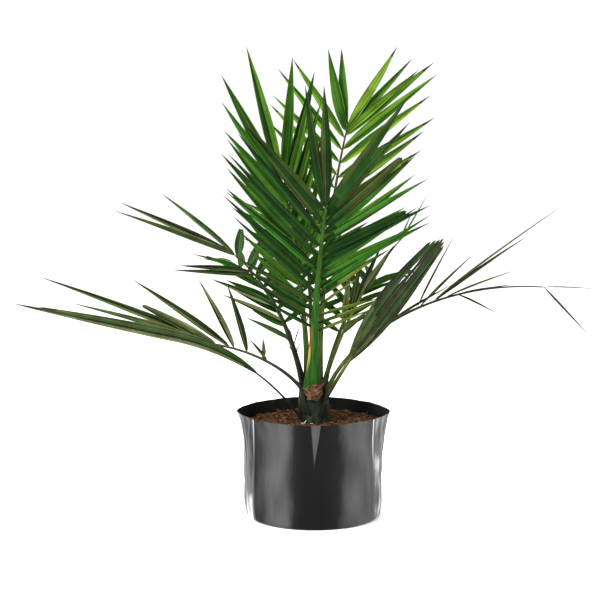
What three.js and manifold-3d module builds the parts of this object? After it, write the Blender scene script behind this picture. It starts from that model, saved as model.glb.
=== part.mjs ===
// A young date palm in a black nursery bag, in millimetres with Z up.
// The origin is the middle of the bag's flat underside. Seen from the front, +X is right and +Y points away.
import * as THREE from "three";
import { mergeVertices } from "three/addons/utils/BufferGeometryUtils.js";
import Module from "manifold-3d";

const wasm = await Module();
wasm.setup();

// Clearance between neighbouring solids, and the distance within which points count as one.
const GAP = 0.3;
const SAME_POINT = 1e-3;

// Bag: film standing round its fill, flared at its rim and drawn out there to a fold on the left and right.
const BAG_HEIGHT = 160;
const BAG_RIM_RADIUS = 115;
const BAG_FOOT_RADIUS = 102;
const BAG_FLARE_POWER = 5;
const BAG_FOOT_ROUND = 7;
const BAG_WALL = 1.2;
const BAG_FLOOR = 1.5;
const BAG_FOLD = 0.24;
const BAG_SIDES = 40;
const BAG_RINGS = [0.6, 0.8, 0.92, 1];
const FILM_FINISH = { color: 0x17181a, roughness: 0.35 };

// Soil: fills the bag to below its rim and lies a little higher round the stem.
const SOIL_TOP = 143;
const SOIL_EDGE_DROP = 2;
const SOIL_FLAT_RADIUS = 40;
const SOIL_FINISH = { color: 0x5a3524, roughness: 0.95 };

// Stem: a swollen foot that narrows to the crown, cut flat at the soil. Each pair is height and radius.
const STEM_SIDES = 28;
const STEM_FINISH = { color: 0x39442f, roughness: 0.8 };
const STEM_PROFILE = [
  [SOIL_TOP + GAP, 25],
  [152, 25],
  [168, 24.5],
  [184, 22.5],
  [194, 18],
  [203, 12.5],
];

// Fibre: a brown mat on the front of the stem, just under the middle frond.
const FIBRE_THICK = 2.5;
const FIBRE_FINISH = { color: 0x6b4a32, roughness: 0.95 };
const FIBRE_BOX = { left: -10, right: 12, low: 176, high: 198 };

// Fronds: a rachis leaves the stem at rise degrees and bends over by arch degrees, early or late along it.
const LATE_BEND = 1.4;
const EVEN_BEND = 1;
const EARLY_BEND = 0.6;
const RACHIS_STEPS = 24;
const RACHIS_RINGS = 11;
const RACHIS_SIDES = 6;
const RACHIS_FLATNESS = 0.75;
const RACHIS_TAPER_POWER = 1.3;
const FOOT_CROWDING = 1.5;
const SHEATH_SHARE = 0.12;
const SHEATH_FLARE = 1.25;

// Leaflets: folded along a keel, widest near a third of their length, sagging and curling to the tip.
const LEAFLET_STATIONS = [0, 0.18, 0.45, 0.75, 1];
const WIDEST_AT = 0.34;
const ROOT_WIDTH = 0.5;
const TAPER_POWER = 1.5;
const FOLD = 0.3;
const SAG = 0.03;
const CURL = 0.03;
const THICKNESS_SHARE = 0.011;
const LENGTH_VARIES = 0.07;
const ANGLE_VARIES = 5;
const BLIND_TILT = 14;
const FULL_ROW = 12;
const LEAF_ROUGHNESS = 0.5;

// Where a frond's blades turn from its own upper face to the light, they look this way.
const LIGHT = new THREE.Vector3(0, -0.85, 0.53);

const LEFT = -1;
const RIGHT = 1;

// One row of leaflets, from its lowest to its highest. Along is a share of the rachis. Angles are degrees:
// splay away from the rachis, lift out of the frond's plane. Left and right are as seen from the stem.
function row(side, count, along, length, splay, lift, width) {
  return { side, count, along, length, splay, lift, width };
}

// The pinnate fronds: foot, heading round the stem, rise, arch, length, stalk radius at foot and tip,
// roll of the frond about its rachis, and turn, the share by which blades face the light.
// One that arches round a wide gap is two pieces, which meet at the share bendAt of its rachis.
const FRONDS = [
  {
    name: "frond_front",
    foot: [-2.5, -13, 199],
    heading: -70,
    rise: 84,
    arch: 15,
    bend: LATE_BEND,
    length: 284,
    stalk: [9, 2.2],
    roll: 12,
    turn: 0,
    color: 0x2f6b2a,
    rows: [
      row(RIGHT, 4, [0.32, 0.46], [105, 150], [60, 60], [-6, -4], [6.5, 9]),
      row(RIGHT, 8, [0.51, 0.96], [178, 203], [48, 42], [-4, 0], [12, 16]),
      row(LEFT, 3, [0.3, 0.385], [92, 112], [67, 70], [4, 4], [5, 6]),
      row(LEFT, 2, [0.43, 0.48], [85, 110], [50, 52], [2, 2], [5, 7]),
      row(LEFT, 5, [0.53, 0.74], [192, 182], [56, 61], [2, 2], [11, 14]),
      row(LEFT, 5, [0.79, 0.97], [180, 195], [54, 26], [0, 0], [14, 18]),
      row(RIGHT, 2, [0.98, 0.985], [192, 186], [14, 8], [0, 0], [18, 18]),
    ],
  },
  {
    name: "frond_back_right",
    foot: [7.5, 14, 198],
    heading: 69,
    rise: 84,
    arch: 30,
    bend: LATE_BEND,
    length: 410,
    stalk: [5.2, 1.4],
    roll: -10,
    turn: 0,
    color: 0x4b8a2e,
    rows: [
      row(RIGHT, 11, [0.36, 0.96], [110, 200], [58, 38], [-4, -4], [10, 16]),
      row(LEFT, 11, [0.42, 0.95], [75, 190], [72, 41], [-4, -4], [10, 13]),
      row(LEFT, 2, [0.98, 0.985], [170, 158], [23, 16], [0, 0], [15, 15]),
      row(RIGHT, 1, [0.985, 0.985], [165, 165], [17, 17], [0, 0], [15, 15]),
      row(RIGHT, 2, [0.97, 0.98], [175, 168], [34, 28], [-4, -4], [13, 13]),
    ],
  },
  {
    name: "frond_back_left",
    foot: [-7.5, 14, 198],
    heading: 137,
    rise: 86,
    arch: 15,
    bend: LATE_BEND,
    length: 318,
    stalk: [5.2, 1.4],
    roll: 40,
    turn: 0,
    color: 0x4b8a2e,
    rows: [
      row(RIGHT, 10, [0.38, 0.9], [85, 178], [46, 22], [4, 4], [10, 15]),
      row(LEFT, 11, [0.36, 0.92], [85, 160], [48, 25], [4, 4], [10, 15]),
      row(LEFT, 1, [0.985, 0.985], [222, 222], [0, 0], [0, 0], [15, 15]),
      row(RIGHT, 1, [0.985, 0.985], [200, 200], [20, 20], [0, 0], [15, 15]),
      row(LEFT, 1, [0.95, 0.95], [208, 208], [16, 16], [0, 0], [15, 15]),
      row(RIGHT, 1, [0.95, 0.95], [190, 190], [29, 29], [4, 4], [15, 15]),
    ],
  },
  {
    name: "frond_left",
    foot: [-15, 3, 198],
    heading: 160,
    rise: 77,
    arch: 41,
    bend: LATE_BEND,
    length: 232,
    stalk: [6.5, 1.4],
    roll: 0,
    turn: 0.8,
    color: 0x55703a,
    rows: [
      row(LEFT, 3, [0.31, 0.55], [85, 110], [46, 42], [-40, -50], [9, 11]),
      row(LEFT, 2, [0.79, 0.82], [125, 112], [50, 42], [-50, -60], [10, 10]),
      row(LEFT, 2, [0.97, 0.98], [185, 185], [28, 20], [-24, -27], [12, 12]),
      row(LEFT, 1, [0.985, 0.985], [138, 138], [9, 9], [32, 32], [10, 10]),
      row(RIGHT, 4, [0.6, 0.87], [105, 88], [67, 73], [30, 37], [12, 13]),
      row(RIGHT, 1, [0.96, 0.96], [68, 68], [54, 54], [40, 40], [15, 15]),
    ],
  },
  {
    name: "frond_low_left",
    foot: [-16, -8, 193],
    heading: -163,
    rise: 58,
    arch: 48,
    bend: EARLY_BEND,
    length: 171,
    stalk: [5, 2.5],
    roll: 0,
    turn: 0.8,
    color: 0x5f7445,
    rows: [
      row(LEFT, 2, [0.47, 0.63], [45, 115], [60, 52], [50, 80], [7, 11]),
      row(RIGHT, 2, [0.43, 0.75], [46, 120], [35, 49], [47, 85], [6, 11]),
      row(RIGHT, 2, [0.79, 0.92], [184, 150], [28, 21], [48, 48], [12, 13]),
      row(RIGHT, 2, [0.95, 0.98], [288, 222], [19.5, 14.5], [41, 41], [13, 12]),
    ],
  },
  {
    name: "frond_right",
    foot: [14.5, 7, 197],
    heading: 26,
    rise: 69,
    arch: 27,
    bend: LATE_BEND,
    length: 268,
    stalk: [4, 1.3],
    roll: 0,
    turn: 0.6,
    color: 0x55703a,
    rows: [
      row(LEFT, 3, [0.33, 0.48], [110, 112], [23, 19], [28, -9], [11, 11]),
      row(LEFT, 1, [0.96, 0.96], [50, 50], [20, 20], [47, 47], [3, 3]),
      row(RIGHT, 2, [0.31, 0.56], [68, 95], [32, 14], [-22, 16], [9, 11]),
      row(RIGHT, 1, [0.985, 0.985], [75, 75], [14, 14], [82, 82], [3, 3]),
    ],
  },
  {
    name: "frond_low_right",
    foot: [18, 0, 184],
    heading: 3,
    rise: 77,
    arch: 82,
    bend: EARLY_BEND,
    length: 400,
    bendAt: 0.34,
    stalk: [5.2, 1.4],
    roll: 0,
    turn: 0.5,
    color: 0x596b4a,
    rows: [
      row(LEFT, 2, [0.37, 0.49], [126, 145], [29, 41], [-7, 56], [7, 5]),
      row(LEFT, 1, [0.55, 0.55], [248, 248], [20, 20], [57, 57], [6, 6]),
      row(LEFT, 1, [0.6, 0.6], [112, 112], [5, 5], [70, 70], [6, 6]),
      row(LEFT, 1, [0.65, 0.65], [106, 106], [27, 27], [-15, -15], [5, 5]),
      row(LEFT, 1, [0.985, 0.985], [80, 80], [4, 4], [60, 60], [3, 3]),
      row(RIGHT, 2, [0.5, 0.56], [115, 165], [31, 20], [60, 62], [5, 6]),
      row(RIGHT, 1, [0.65, 0.65], [73, 73], [54, 54], [-30, -30], [6, 6]),
      row(RIGHT, 1, [0.98, 0.98], [105, 105], [46, 46], [-76, -76], [4, 4]),
    ],
  },
  {
    name: "frond_back",
    foot: [0, 20, 186],
    heading: 94,
    rise: 72,
    arch: 60,
    bend: LATE_BEND,
    length: 330,
    bendAt: 0.34,
    stalk: [4.6, 1.4],
    roll: 0,
    turn: 0,
    color: 0x47803a,
    rows: [
      row(RIGHT, 9, [0.38, 0.96], [85, 140], [66, 34], [10, 10], [9, 14]),
      row(LEFT, 9, [0.36, 0.94], [85, 140], [66, 34], [10, 10], [9, 14]),
      row(RIGHT, 1, [0.985, 0.985], [125, 125], [10, 10], [0, 0], [14, 14]),
      row(LEFT, 1, [0.985, 0.985], [125, 125], [10, 10], [0, 0], [14, 14]),
    ],
  },
  {
    name: "frond_back_low_left",
    foot: [-13, 17, 182],
    heading: 122,
    rise: 66,
    arch: 62,
    bend: LATE_BEND,
    length: 285,
    bendAt: 0.36,
    stalk: [4.4, 1.3],
    roll: 0,
    turn: 0,
    color: 0x47803a,
    rows: [
      row(RIGHT, 7, [0.42, 0.96], [70, 110], [64, 34], [10, 10], [9, 13]),
      row(LEFT, 7, [0.4, 0.94], [60, 95], [64, 34], [10, 10], [9, 13]),
      row(RIGHT, 1, [0.985, 0.985], [95, 95], [10, 10], [0, 0], [13, 13]),
      row(LEFT, 1, [0.985, 0.985], [95, 95], [10, 10], [0, 0], [13, 13]),
    ],
  },
  {
    name: "frond_back_low_right",
    foot: [14, 17, 182],
    heading: 62,
    rise: 64,
    arch: 64,
    bend: LATE_BEND,
    length: 265,
    bendAt: 0.36,
    stalk: [4.4, 1.3],
    roll: 0,
    turn: 0,
    color: 0x47803a,
    rows: [
      row(RIGHT, 7, [0.42, 0.96], [55, 85], [64, 34], [10, 10], [9, 13]),
      row(LEFT, 7, [0.4, 0.94], [70, 110], [64, 34], [10, 10], [9, 13]),
      row(RIGHT, 1, [0.985, 0.985], [90, 90], [10, 10], [0, 0], [13, 13]),
      row(LEFT, 1, [0.985, 0.985], [90, 90], [10, 10], [0, 0], [13, 13]),
    ],
  },
];

// The two undivided leaves of a seedling: one blade along the outer part of a stalk, in so many pleats,
// from its start to a tip that keeps a share of the full width where it is torn off. Skew is under 1 where
// the blade is widest near its start. Settle is the share of the stalk at which its bend ends.
const WHOLE_LEAVES = [
  {
    name: "strap_leaf",
    foot: [-18, -19, 151],
    heading: -162,
    rise: 55,
    arch: 41,
    bend: EVEN_BEND,
    settle: 0.5,
    length: 486,
    bendAt: 0.18,
    stalk: [2.8, 1.2],
    turn: 0.8,
    color: 0x6f7c4a,
    start: 0.2,
    width: 20,
    skew: 0.75,
    pleats: 1,
    tip: 0,
  },
  {
    name: "broad_leaf",
    foot: [17, -11, 178],
    heading: -16,
    rise: 62,
    arch: 12,
    bend: EARLY_BEND,
    length: 308,
    stalk: [4.8, 1.4],
    turn: 0.9,
    color: 0x2b4d33,
    start: 0.22,
    width: 44,
    skew: 0.95,
    pleats: 4,
    tip: 0.45,
  },
];
const WHOLE_LEAF_STATIONS = [0, 0.12, 0.28, 0.45, 0.62, 0.78, 0.9, 1];
const LANCE_FULLNESS = 0.8;
const TORN_FROM = 0.5;

// Small tools

const radians = THREE.MathUtils.degToRad;
const lerp = THREE.MathUtils.lerp;
const clamp01 = (x) => THREE.MathUtils.clamp(x, 0, 1);

// A repeatable number from -1 to 1 for each seed and trait: the scrambled fraction of a large sine.
const SEEDS_A_ROW = 40;
const SEEDS_A_FROND = 1000;
const TRAITS = { length: 0, splay: 0.31, lift: 0.57 };
function vary(seed, trait) {
  const x = Math.sin((seed + TRAITS[trait]) * 12.9898) * 43758.5453;
  return 2 * (x - Math.floor(x)) - 1;
}

// A closed skin over rings that have equally many points: quads along the sides and a ladder of faces on both
// ends. A last ring with all its points in one place closes as a tip.
function loft(rings) {
  const n = rings[0].length;
  const faces = [];
  for (let r = 0; r + 1 < rings.length; r++) {
    for (let i = 0; i < n; i++) {
      const a = r * n + i;
      const b = r * n + ((i + 1) % n);
      faces.push(a, b, b + n, a, b + n, a + n);
    }
  }
  const last = (rings.length - 1) * n;
  for (let i = 0; 2 * i + 1 < n; i++) {
    const [a, b, c, d] = [i, i + 1, n - 1 - i, (n - i) % n];
    faces.push(a, c, b, a, d, c);
    faces.push(last + a, last + b, last + c, last + a, last + c, last + d);
  }
  const geometry = new THREE.BufferGeometry().setFromPoints(rings.flat());
  return geometry.setIndex(faces);
}

// The solid inside a closed geometry: shared points merged, faces that have shrunk to a line left out.
function solid(geometry) {
  const bare = new THREE.BufferGeometry();
  bare.setAttribute("position", geometry.getAttribute("position"));
  bare.setIndex(geometry.index);
  const merged = mergeVertices(bare, SAME_POINT);
  const triVerts = [];
  for (let i = 0; i < merged.index.count; i += 3) {
    const [a, b, c] = merged.index.array.slice(i, i + 3);
    if (a !== b && b !== c && c !== a) triVerts.push(a, b, c);
  }
  return new wasm.Manifold(
    new wasm.Mesh({
      numProp: 3,
      vertProperties: merged.attributes.position.array,
      triVerts: new Uint32Array(triVerts),
    }),
  );
}

// The largest connected body of a solid, without loose scraps.
function mainBody(whole) {
  const bodies = whole.decompose();
  return bodies.reduce((best, body) => (body.volume() > best.volume() ? body : best));
}

// A named mesh with its own finish, from a solid.
function node(name, whole, { color, roughness }) {
  const { vertProperties, triVerts } = whole.getMesh();
  const geometry = new THREE.BufferGeometry();
  geometry.setAttribute("position", new THREE.BufferAttribute(vertProperties, 3));
  geometry.setIndex(new THREE.BufferAttribute(triVerts, 1));
  geometry.computeVertexNormals();
  const mesh = new THREE.Mesh(geometry, new THREE.MeshStandardMaterial({ color, roughness, metalness: 0 }));
  mesh.name = name;
  return mesh;
}

// A profile of height and radius turned round Z.
function turned(profile, sides) {
  const points = profile.map(([height, radius]) => new THREE.Vector2(radius, height));
  return new THREE.LatheGeometry(points, sides).rotateX(Math.PI / 2);
}

// Bag and soil

// The outer radius of the bag at a height.
function bagRadius(height) {
  return lerp(BAG_FOOT_RADIUS, BAG_RIM_RADIUS, clamp01(height / BAG_HEIGHT) ** BAG_FLARE_POWER);
}

// Draws a turned shape in, front and back, more and more towards the rim, so that the sides come to a fold.
function foldSides(geometry) {
  const place = geometry.getAttribute("position");
  for (let i = 0; i < place.count; i++) {
    const around = Math.hypot(place.getX(i), place.getY(i)) || 1;
    const folded = BAG_FOLD * clamp01(place.getZ(i) / BAG_HEIGHT) ** 2;
    place.setY(i, place.getY(i) * Math.abs(place.getY(i) / around) ** folded);
  }
  return geometry;
}

function growBag() {
  const heights = [BAG_FOOT_ROUND, ...BAG_RINGS.map((share) => share * BAG_HEIGHT)];
  const outside = heights.map((z) => [z, bagRadius(z)]);
  const inside = heights.map((z) => [z, bagRadius(z) - BAG_WALL]).reverse();
  const footFlat = BAG_FOOT_RADIUS - BAG_FOOT_ROUND;
  const profile = [[0, 0], [0, footFlat], ...outside, ...inside, [BAG_FLOOR, footFlat], [BAG_FLOOR, 0]];
  return solid(foldSides(turned(profile, BAG_SIDES)));
}

function soilFill() {
  const edgeTop = SOIL_TOP - SOIL_EDGE_DROP;
  const rings = BAG_RINGS.map((share) => share * BAG_HEIGHT).filter((z) => z < edgeTop);
  const heights = [BAG_FOOT_ROUND, ...rings, edgeTop];
  const bottom = BAG_FLOOR + GAP;
  const profile = [
    [bottom, 0],
    [bottom, BAG_FOOT_RADIUS - BAG_FOOT_ROUND - GAP],
    ...heights.map((z) => [z, bagRadius(z) - BAG_WALL - GAP]),
    [SOIL_TOP, SOIL_FLAT_RADIUS],
    [SOIL_TOP, 0],
  ];
  return solid(foldSides(turned(profile, BAG_SIDES)));
}

// Stem and fibre

// The stem, grown outwards and upwards by a margin.
function stemSolid(margin = 0) {
  const foot = [STEM_PROFILE[0][0] - margin, 0];
  const top = [STEM_PROFILE.at(-1)[0] + margin, 0];
  const grown = STEM_PROFILE.map(([z, radius], i) => {
    const shift = i === 0 ? -margin : i === STEM_PROFILE.length - 1 ? margin : 0;
    return [z + shift, radius + margin];
  });
  return solid(turned([foot, ...grown, top], STEM_SIDES));
}

// The fibre mat: a layer of the stem's front between two grown stems, inside a box.
function fibreSolid(margin = 0) {
  const { left, right, low, high } = FIBRE_BOX;
  const depth = STEM_PROFILE[0][1] + FIBRE_THICK;
  const size = [right - left + 2 * margin, 2 * depth, high - low + 2 * margin];
  const box = new THREE.BoxGeometry(...size).translate((left + right) / 2, -depth, (low + high) / 2);
  const layer = stemSolid(FIBRE_THICK + GAP + margin).subtract(stemSolid(GAP - margin));
  return layer.intersect(solid(box));
}

// Fronds

// The rachis as points with its direction, its right-hand side and its upper face, stepped along its length.
function rachisPath({ foot, heading, rise, arch, bend, length, settle = 1 }) {
  const h = radians(heading);
  const side = new THREE.Vector3(Math.sin(h), -Math.cos(h), 0);
  const direction = (t) => {
    const angle = radians(rise - arch * clamp01(t / settle) ** bend);
    return new THREE.Vector3(Math.cos(angle) * Math.cos(h), Math.cos(angle) * Math.sin(h), Math.sin(angle));
  };
  const points = [new THREE.Vector3(...foot)];
  for (let i = 0; i < RACHIS_STEPS; i++) {
    const step = direction((i + 0.5) / RACHIS_STEPS).multiplyScalar(length / RACHIS_STEPS);
    points.push(points[i].clone().add(step));
  }
  return { points, direction, side };
}

// The frame at a share t of the rachis: its point, direction, right-hand side and upper face.
function frameAt(path, t, roll = 0) {
  const along = clamp01(t) * RACHIS_STEPS;
  const i = Math.min(Math.floor(along), RACHIS_STEPS - 1);
  const point = path.points[i].clone().lerp(path.points[i + 1], along - i);
  const direction = path.direction(clamp01(t));
  const side = path.side.clone().applyAxisAngle(direction, radians(-roll));
  return { point, direction, side, face: side.clone().cross(direction) };
}

// A stalk and rachis: a flattened tube that flares into a sheath at its foot.
function rachisSolid(frond, path) {
  const rings = [];
  for (let r = 0; r < RACHIS_RINGS; r++) {
    const t = (r / (RACHIS_RINGS - 1)) ** FOOT_CROWDING;
    const { point, side, face } = frameAt(path, t, frond.roll);
    const flare = 1 + (SHEATH_FLARE - 1) * clamp01(1 - t / SHEATH_SHARE);
    const radius = lerp(frond.stalk[1], frond.stalk[0], (1 - t) ** RACHIS_TAPER_POWER);
    const ring = [];
    for (let i = 0; i < RACHIS_SIDES; i++) {
      const angle = (2 * Math.PI * i) / RACHIS_SIDES;
      const across = side.clone().multiplyScalar(radius * flare * Math.cos(angle));
      const through = face.clone().multiplyScalar(radius * RACHIS_FLATNESS * Math.sin(angle));
      ring.push(point.clone().add(across).add(through));
    }
    rings.push(ring.reverse());
  }
  return solid(loft(rings));
}

// The section of a blade in so many pleats: thick at its folds and sharp along its two edges.
function bladeRing(point, across, normal, half, thick, pleats) {
  const folds = 2 * pleats;
  const place = (k, lift) => {
    const crest = k % 2 === 0 ? (FOLD * half) / pleats : 0;
    const v = k / pleats - 1;
    return point.clone().addScaledVector(across, v * half).addScaledVector(normal, crest + lift);
  };
  const ring = [];
  for (let k = 0; k <= folds; k++) {
    const sharp = k === 0 || k === folds;
    ring.push(place(k, sharp ? 0 : thick / 2));
  }
  for (let k = folds - 1; k > 0; k--) {
    ring.push(place(k, -thick / 2));
  }
  return ring;
}

// The way a blade's upper face looks: the frond's upper face turned to the light, square to the blade.
function bladeFace(along, face, turn) {
  const look = face.clone().lerp(LIGHT, turn);
  return look.addScaledVector(along, -look.dot(along)).normalize();
}

// The share of its full width that a leaflet has at a share u of its length.
function leafletWidth(u) {
  const swell = clamp01(u / WIDEST_AT);
  const taper = 1 - clamp01((u - WIDEST_AT) / (1 - WIDEST_AT)) ** TAPER_POWER;
  return (ROOT_WIDTH + (1 - ROOT_WIDTH) * swell * (2 - swell)) * taper;
}

// One leaflet, rooted in the middle of the rachis. Extra thickens it, to test what it comes near.
function leafletSolid(frond, path, leaflet, extra = 0) {
  const { t, side, length, splay, lift, width } = leaflet;
  const frame = frameAt(path, t, frond.roll);
  const outward = frame.side.clone().multiplyScalar(side * Math.cos(radians(lift)));
  outward.addScaledVector(frame.face, Math.sin(radians(lift)));
  const along = frame.direction.clone().multiplyScalar(Math.cos(radians(splay)));
  along.addScaledVector(outward, Math.sin(radians(splay)));
  const tilt = radians(side * BLIND_TILT * (1 - frond.turn));
  const normal = bladeFace(along, frame.face, frond.turn).applyAxisAngle(along, tilt);
  const across = along.clone().cross(normal);
  const rings = LEAFLET_STATIONS.map((u) => {
    const point = frame.point.clone().addScaledVector(along, length * u);
    point.addScaledVector(frame.direction, length * CURL * u * u);
    point.z -= length * SAG * u * u;
    const half = (width * leafletWidth(u)) / 2;
    const thick = u < 1 ? THICKNESS_SHARE * length + extra : 0;
    return bladeRing(point, across, normal, half, thick, 1);
  });
  return solid(loft(rings));
}

// The leaflets of all rows of a frond, each a little off its place in the row.
function leafletsOf(frond, seed) {
  return frond.rows.flatMap((leaflets, r) =>
    Array.from({ length: leaflets.count }, (_, i) => {
      const share = leaflets.count > 1 ? i / (leaflets.count - 1) : 0;
      const own = seed + SEEDS_A_ROW * r + i;
      const stray = ANGLE_VARIES * Math.sqrt(leaflets.count / FULL_ROW);
      const between = (pair, s = share) => lerp(pair[0], pair[1], s);
      return {
        t: between(leaflets.along),
        side: leaflets.side,
        length: between(leaflets.length, Math.sqrt(share)) * (1 + LENGTH_VARIES * vary(own, "length")),
        splay: between(leaflets.splay) + stray * vary(own, "splay"),
        lift: between(leaflets.lift) + stray * vary(own, "lift"),
        width: between(leaflets.width, Math.sqrt(share)),
      };
    }),
  );
}

// The fronds and leaves that already stand on the stem.
const standing = [];

// A pinnate frond: its rachis with each leaflet that stays clear of the solids already standing.
function frondSolid(frond, seed) {
  const path = rachisPath(frond);
  let whole = rachisSolid(frond, path);
  for (const leaflet of leafletsOf(frond, seed)) {
    const room = leafletSolid(frond, path, leaflet, 2 * GAP);
    const blocked = standing.some((other) => !other.intersect(room).isEmpty());
    if (!blocked) whole = whole.add(leafletSolid(frond, path, leaflet));
  }
  return whole;
}

// An undivided leaf: its stalk, and a pleated blade that swells to full width and narrows to its tip.
function wholeLeafSolid(leaf) {
  const path = rachisPath(leaf);
  const bladeLength = leaf.length * (1 - leaf.start);
  const rings = WHOLE_LEAF_STATIONS.map((u) => {
    const frame = frameAt(path, lerp(leaf.start, 1, u));
    const normal = bladeFace(frame.direction, frame.face, leaf.turn);
    const across = frame.direction.clone().cross(normal);
    const lance = Math.max(0, Math.sin(Math.PI * u ** leaf.skew)) ** LANCE_FULLNESS;
    const torn = leaf.tip * clamp01((u - TORN_FROM) / (1 - TORN_FROM));
    const half = (leaf.width * lerp(lance, 1, torn)) / 2;
    const thick = half > SAME_POINT ? THICKNESS_SHARE * bladeLength : 0;
    return bladeRing(frame.point, across, normal, half, thick, leaf.pleats);
  });
  return rachisSolid({ ...leaf, roll: 0 }, path).add(solid(loft(rings)));
}

// The plant

const palm = new THREE.Group();
palm.add(node("grow_bag", growBag(), FILM_FINISH));
palm.add(node("soil", soilFill(), SOIL_FINISH));
palm.add(node("stem_base", stemSolid(), STEM_FINISH));
palm.add(node("leaf_base_fibre", fibreSolid(), FIBRE_FINISH));

const core = stemSolid(GAP).add(fibreSolid(GAP));

// Sets a frond or leaf on the stem, its foot cut clear of it, in two pieces where it arches round a gap.
function stand(frond, whole) {
  const clear = mainBody(whole.subtract(core));
  const finish = { color: frond.color, roughness: LEAF_ROUGHNESS };
  standing.push(clear);
  if (!frond.bendAt) {
    palm.add(node(frond.name, clear, finish));
    return;
  }
  const { point, direction } = frameAt(rachisPath(frond), frond.bendAt);
  const reach = point.dot(direction);
  const outer = clear.trimByPlane(direction.toArray(), reach + GAP / 2);
  const stalk = clear.trimByPlane(direction.negate().toArray(), GAP / 2 - reach);
  palm.add(node(frond.name, mainBody(outer), finish));
  palm.add(node(`${frond.name}_stalk`, mainBody(stalk), finish));
}

WHOLE_LEAVES.forEach((leaf) => stand(leaf, wholeLeafSolid(leaf)));
FRONDS.forEach((frond, i) => stand(frond, frondSolid(frond, SEEDS_A_FROND * i)));

export default palm;
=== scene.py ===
# %% [markdown]
# # A young date palm in a nursery bag
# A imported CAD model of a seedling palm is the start: a bag, its soil, a short stem and twelve leaves, all as
# plain solids. Each step below replaces some of those solids with a finer surface that numpy works out as
# whole arrays, and gives it a finish. Everything stays in the model's own frame: X to the right, Y away from
# the viewer, Z up, the origin under the middle of the bag. Sizes are in millimetres until a mesh is made.

# %% Load the frame
from collections import namedtuple
from types import SimpleNamespace

import bmesh
import bpy
import numpy as np
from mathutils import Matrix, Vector


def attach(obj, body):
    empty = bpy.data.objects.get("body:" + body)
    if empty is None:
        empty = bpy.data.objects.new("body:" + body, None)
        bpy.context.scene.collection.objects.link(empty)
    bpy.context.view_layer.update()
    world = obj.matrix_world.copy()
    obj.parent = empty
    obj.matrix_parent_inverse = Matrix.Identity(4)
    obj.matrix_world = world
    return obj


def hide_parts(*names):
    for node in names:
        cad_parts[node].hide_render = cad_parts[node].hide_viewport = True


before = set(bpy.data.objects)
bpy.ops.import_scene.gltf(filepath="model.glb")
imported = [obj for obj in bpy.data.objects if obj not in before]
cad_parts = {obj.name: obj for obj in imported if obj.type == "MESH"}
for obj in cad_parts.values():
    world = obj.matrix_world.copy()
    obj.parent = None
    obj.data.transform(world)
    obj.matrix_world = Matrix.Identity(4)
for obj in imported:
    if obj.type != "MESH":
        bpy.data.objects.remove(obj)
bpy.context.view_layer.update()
MM = 0.001

# %% [markdown]
# ## From a grid of points to a mesh
# A surface that is a function of two parameters is a grid, so its faces need no list: the number of a point
# follows from its row and column. One helper turns a whole stack of such grids into a mesh, for example all
# leaflets of a frond at once. Rows that shrink to a point become poles, which are then merged and so closed.

# %% Grid to mesh
BODY = "root"
WELD = 1e-7
scene = bpy.context.scene


def stand(name, data):
    """A new object at the origin, in the scene."""
    made = bpy.data.objects.new(name, data)
    scene.collection.objects.link(made)
    return made


def grid_faces(copies, rows, columns):
    """Four point numbers for each cell of a stack of grids. Points are numbered by copy, then row, then
    column, and each row has one more cell from its last column back to its first."""
    number = np.arange(copies * rows * columns).reshape(copies, rows, columns)
    number = np.concatenate([number, number[:, :, :1]], axis=2)
    corners = [number[:, :-1, :-1], number[:, :-1, 1:], number[:, 1:, 1:], number[:, 1:, :-1]]
    return np.stack(corners, axis=-1).reshape(-1, 4)


def close_up(mesh):
    """Merges points that lie in one place, so that a row that shrank to a point becomes a pole, and turns
    all faces outwards."""
    work = bmesh.new()
    work.from_mesh(mesh)
    bmesh.ops.remove_doubles(work, verts=work.verts, dist=WELD)
    bmesh.ops.recalc_face_normals(work, faces=work.faces)
    work.to_mesh(mesh)
    work.free()


def piece(name, points, finishes, slot, nodes=(), kinds=None, crisp=180, **values):
    """A mesh object from a stack of grids, (copies, rows, columns, 3) in millimetres, each closed round its
    rows. Kinds gives each cell the number of its finish. Edges that turn by more than crisp degrees stay
    sharp. Any other name gives each point a number that a finish can read."""
    points = points.reshape((-1, *points.shape[-3:]))
    copies, rows, columns = points.shape[:3]
    faces = grid_faces(copies, rows, columns)
    mesh = bpy.data.meshes.new(name)
    mesh.vertices.add(copies * rows * columns)
    mesh.vertices.foreach_set("co", (points * MM).astype(np.float32).ravel())
    mesh.loops.add(faces.size)
    mesh.loops.foreach_set("vertex_index", faces.astype(np.int32).ravel())
    mesh.polygons.add(len(faces))
    mesh.polygons.foreach_set("loop_start", np.arange(0, faces.size, 4, dtype=np.int32))
    mesh.polygons.foreach_set("use_smooth", np.ones(len(faces), bool))
    if kinds is not None:
        cells = np.broadcast_to(kinds, (copies, rows - 1, columns))
        mesh.polygons.foreach_set("material_index", cells.astype(np.int32).ravel())
    for key, value in values.items():
        numbers = np.broadcast_to(value, (copies, rows, columns)).astype(np.float32).ravel()
        mesh.attributes.new(key, "FLOAT", "POINT").data.foreach_set("value", numbers)
    mesh.update(calc_edges=True)
    for finish in finishes:
        mesh.materials.append(finish)
    close_up(mesh)
    mesh.set_sharp_from_angle(angle=np.radians(crisp))
    made = stand(name, mesh)
    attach(made, BODY)
    if nodes:
        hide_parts(*nodes)
    print(f"{name}: {len(mesh.polygons)} faces")


# %% [markdown]
# ## Small tools for shapes
# Natural surfaces need chance, but the same chance on every run. Sums of waves with seeded directions give
# smooth noise, and triangle waves give the flat facets of crumpled film. Leaflets use the model's own rule:
# the scrambled fraction of a large sine, so that each leaflet here lands where its solid is.

# %% Blends and noise
WAVE_PACE = (0.7, 1.3)
SCRAMBLE_PACE, SCRAMBLE_SIZE = 12.9898, 43758.5453


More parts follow.
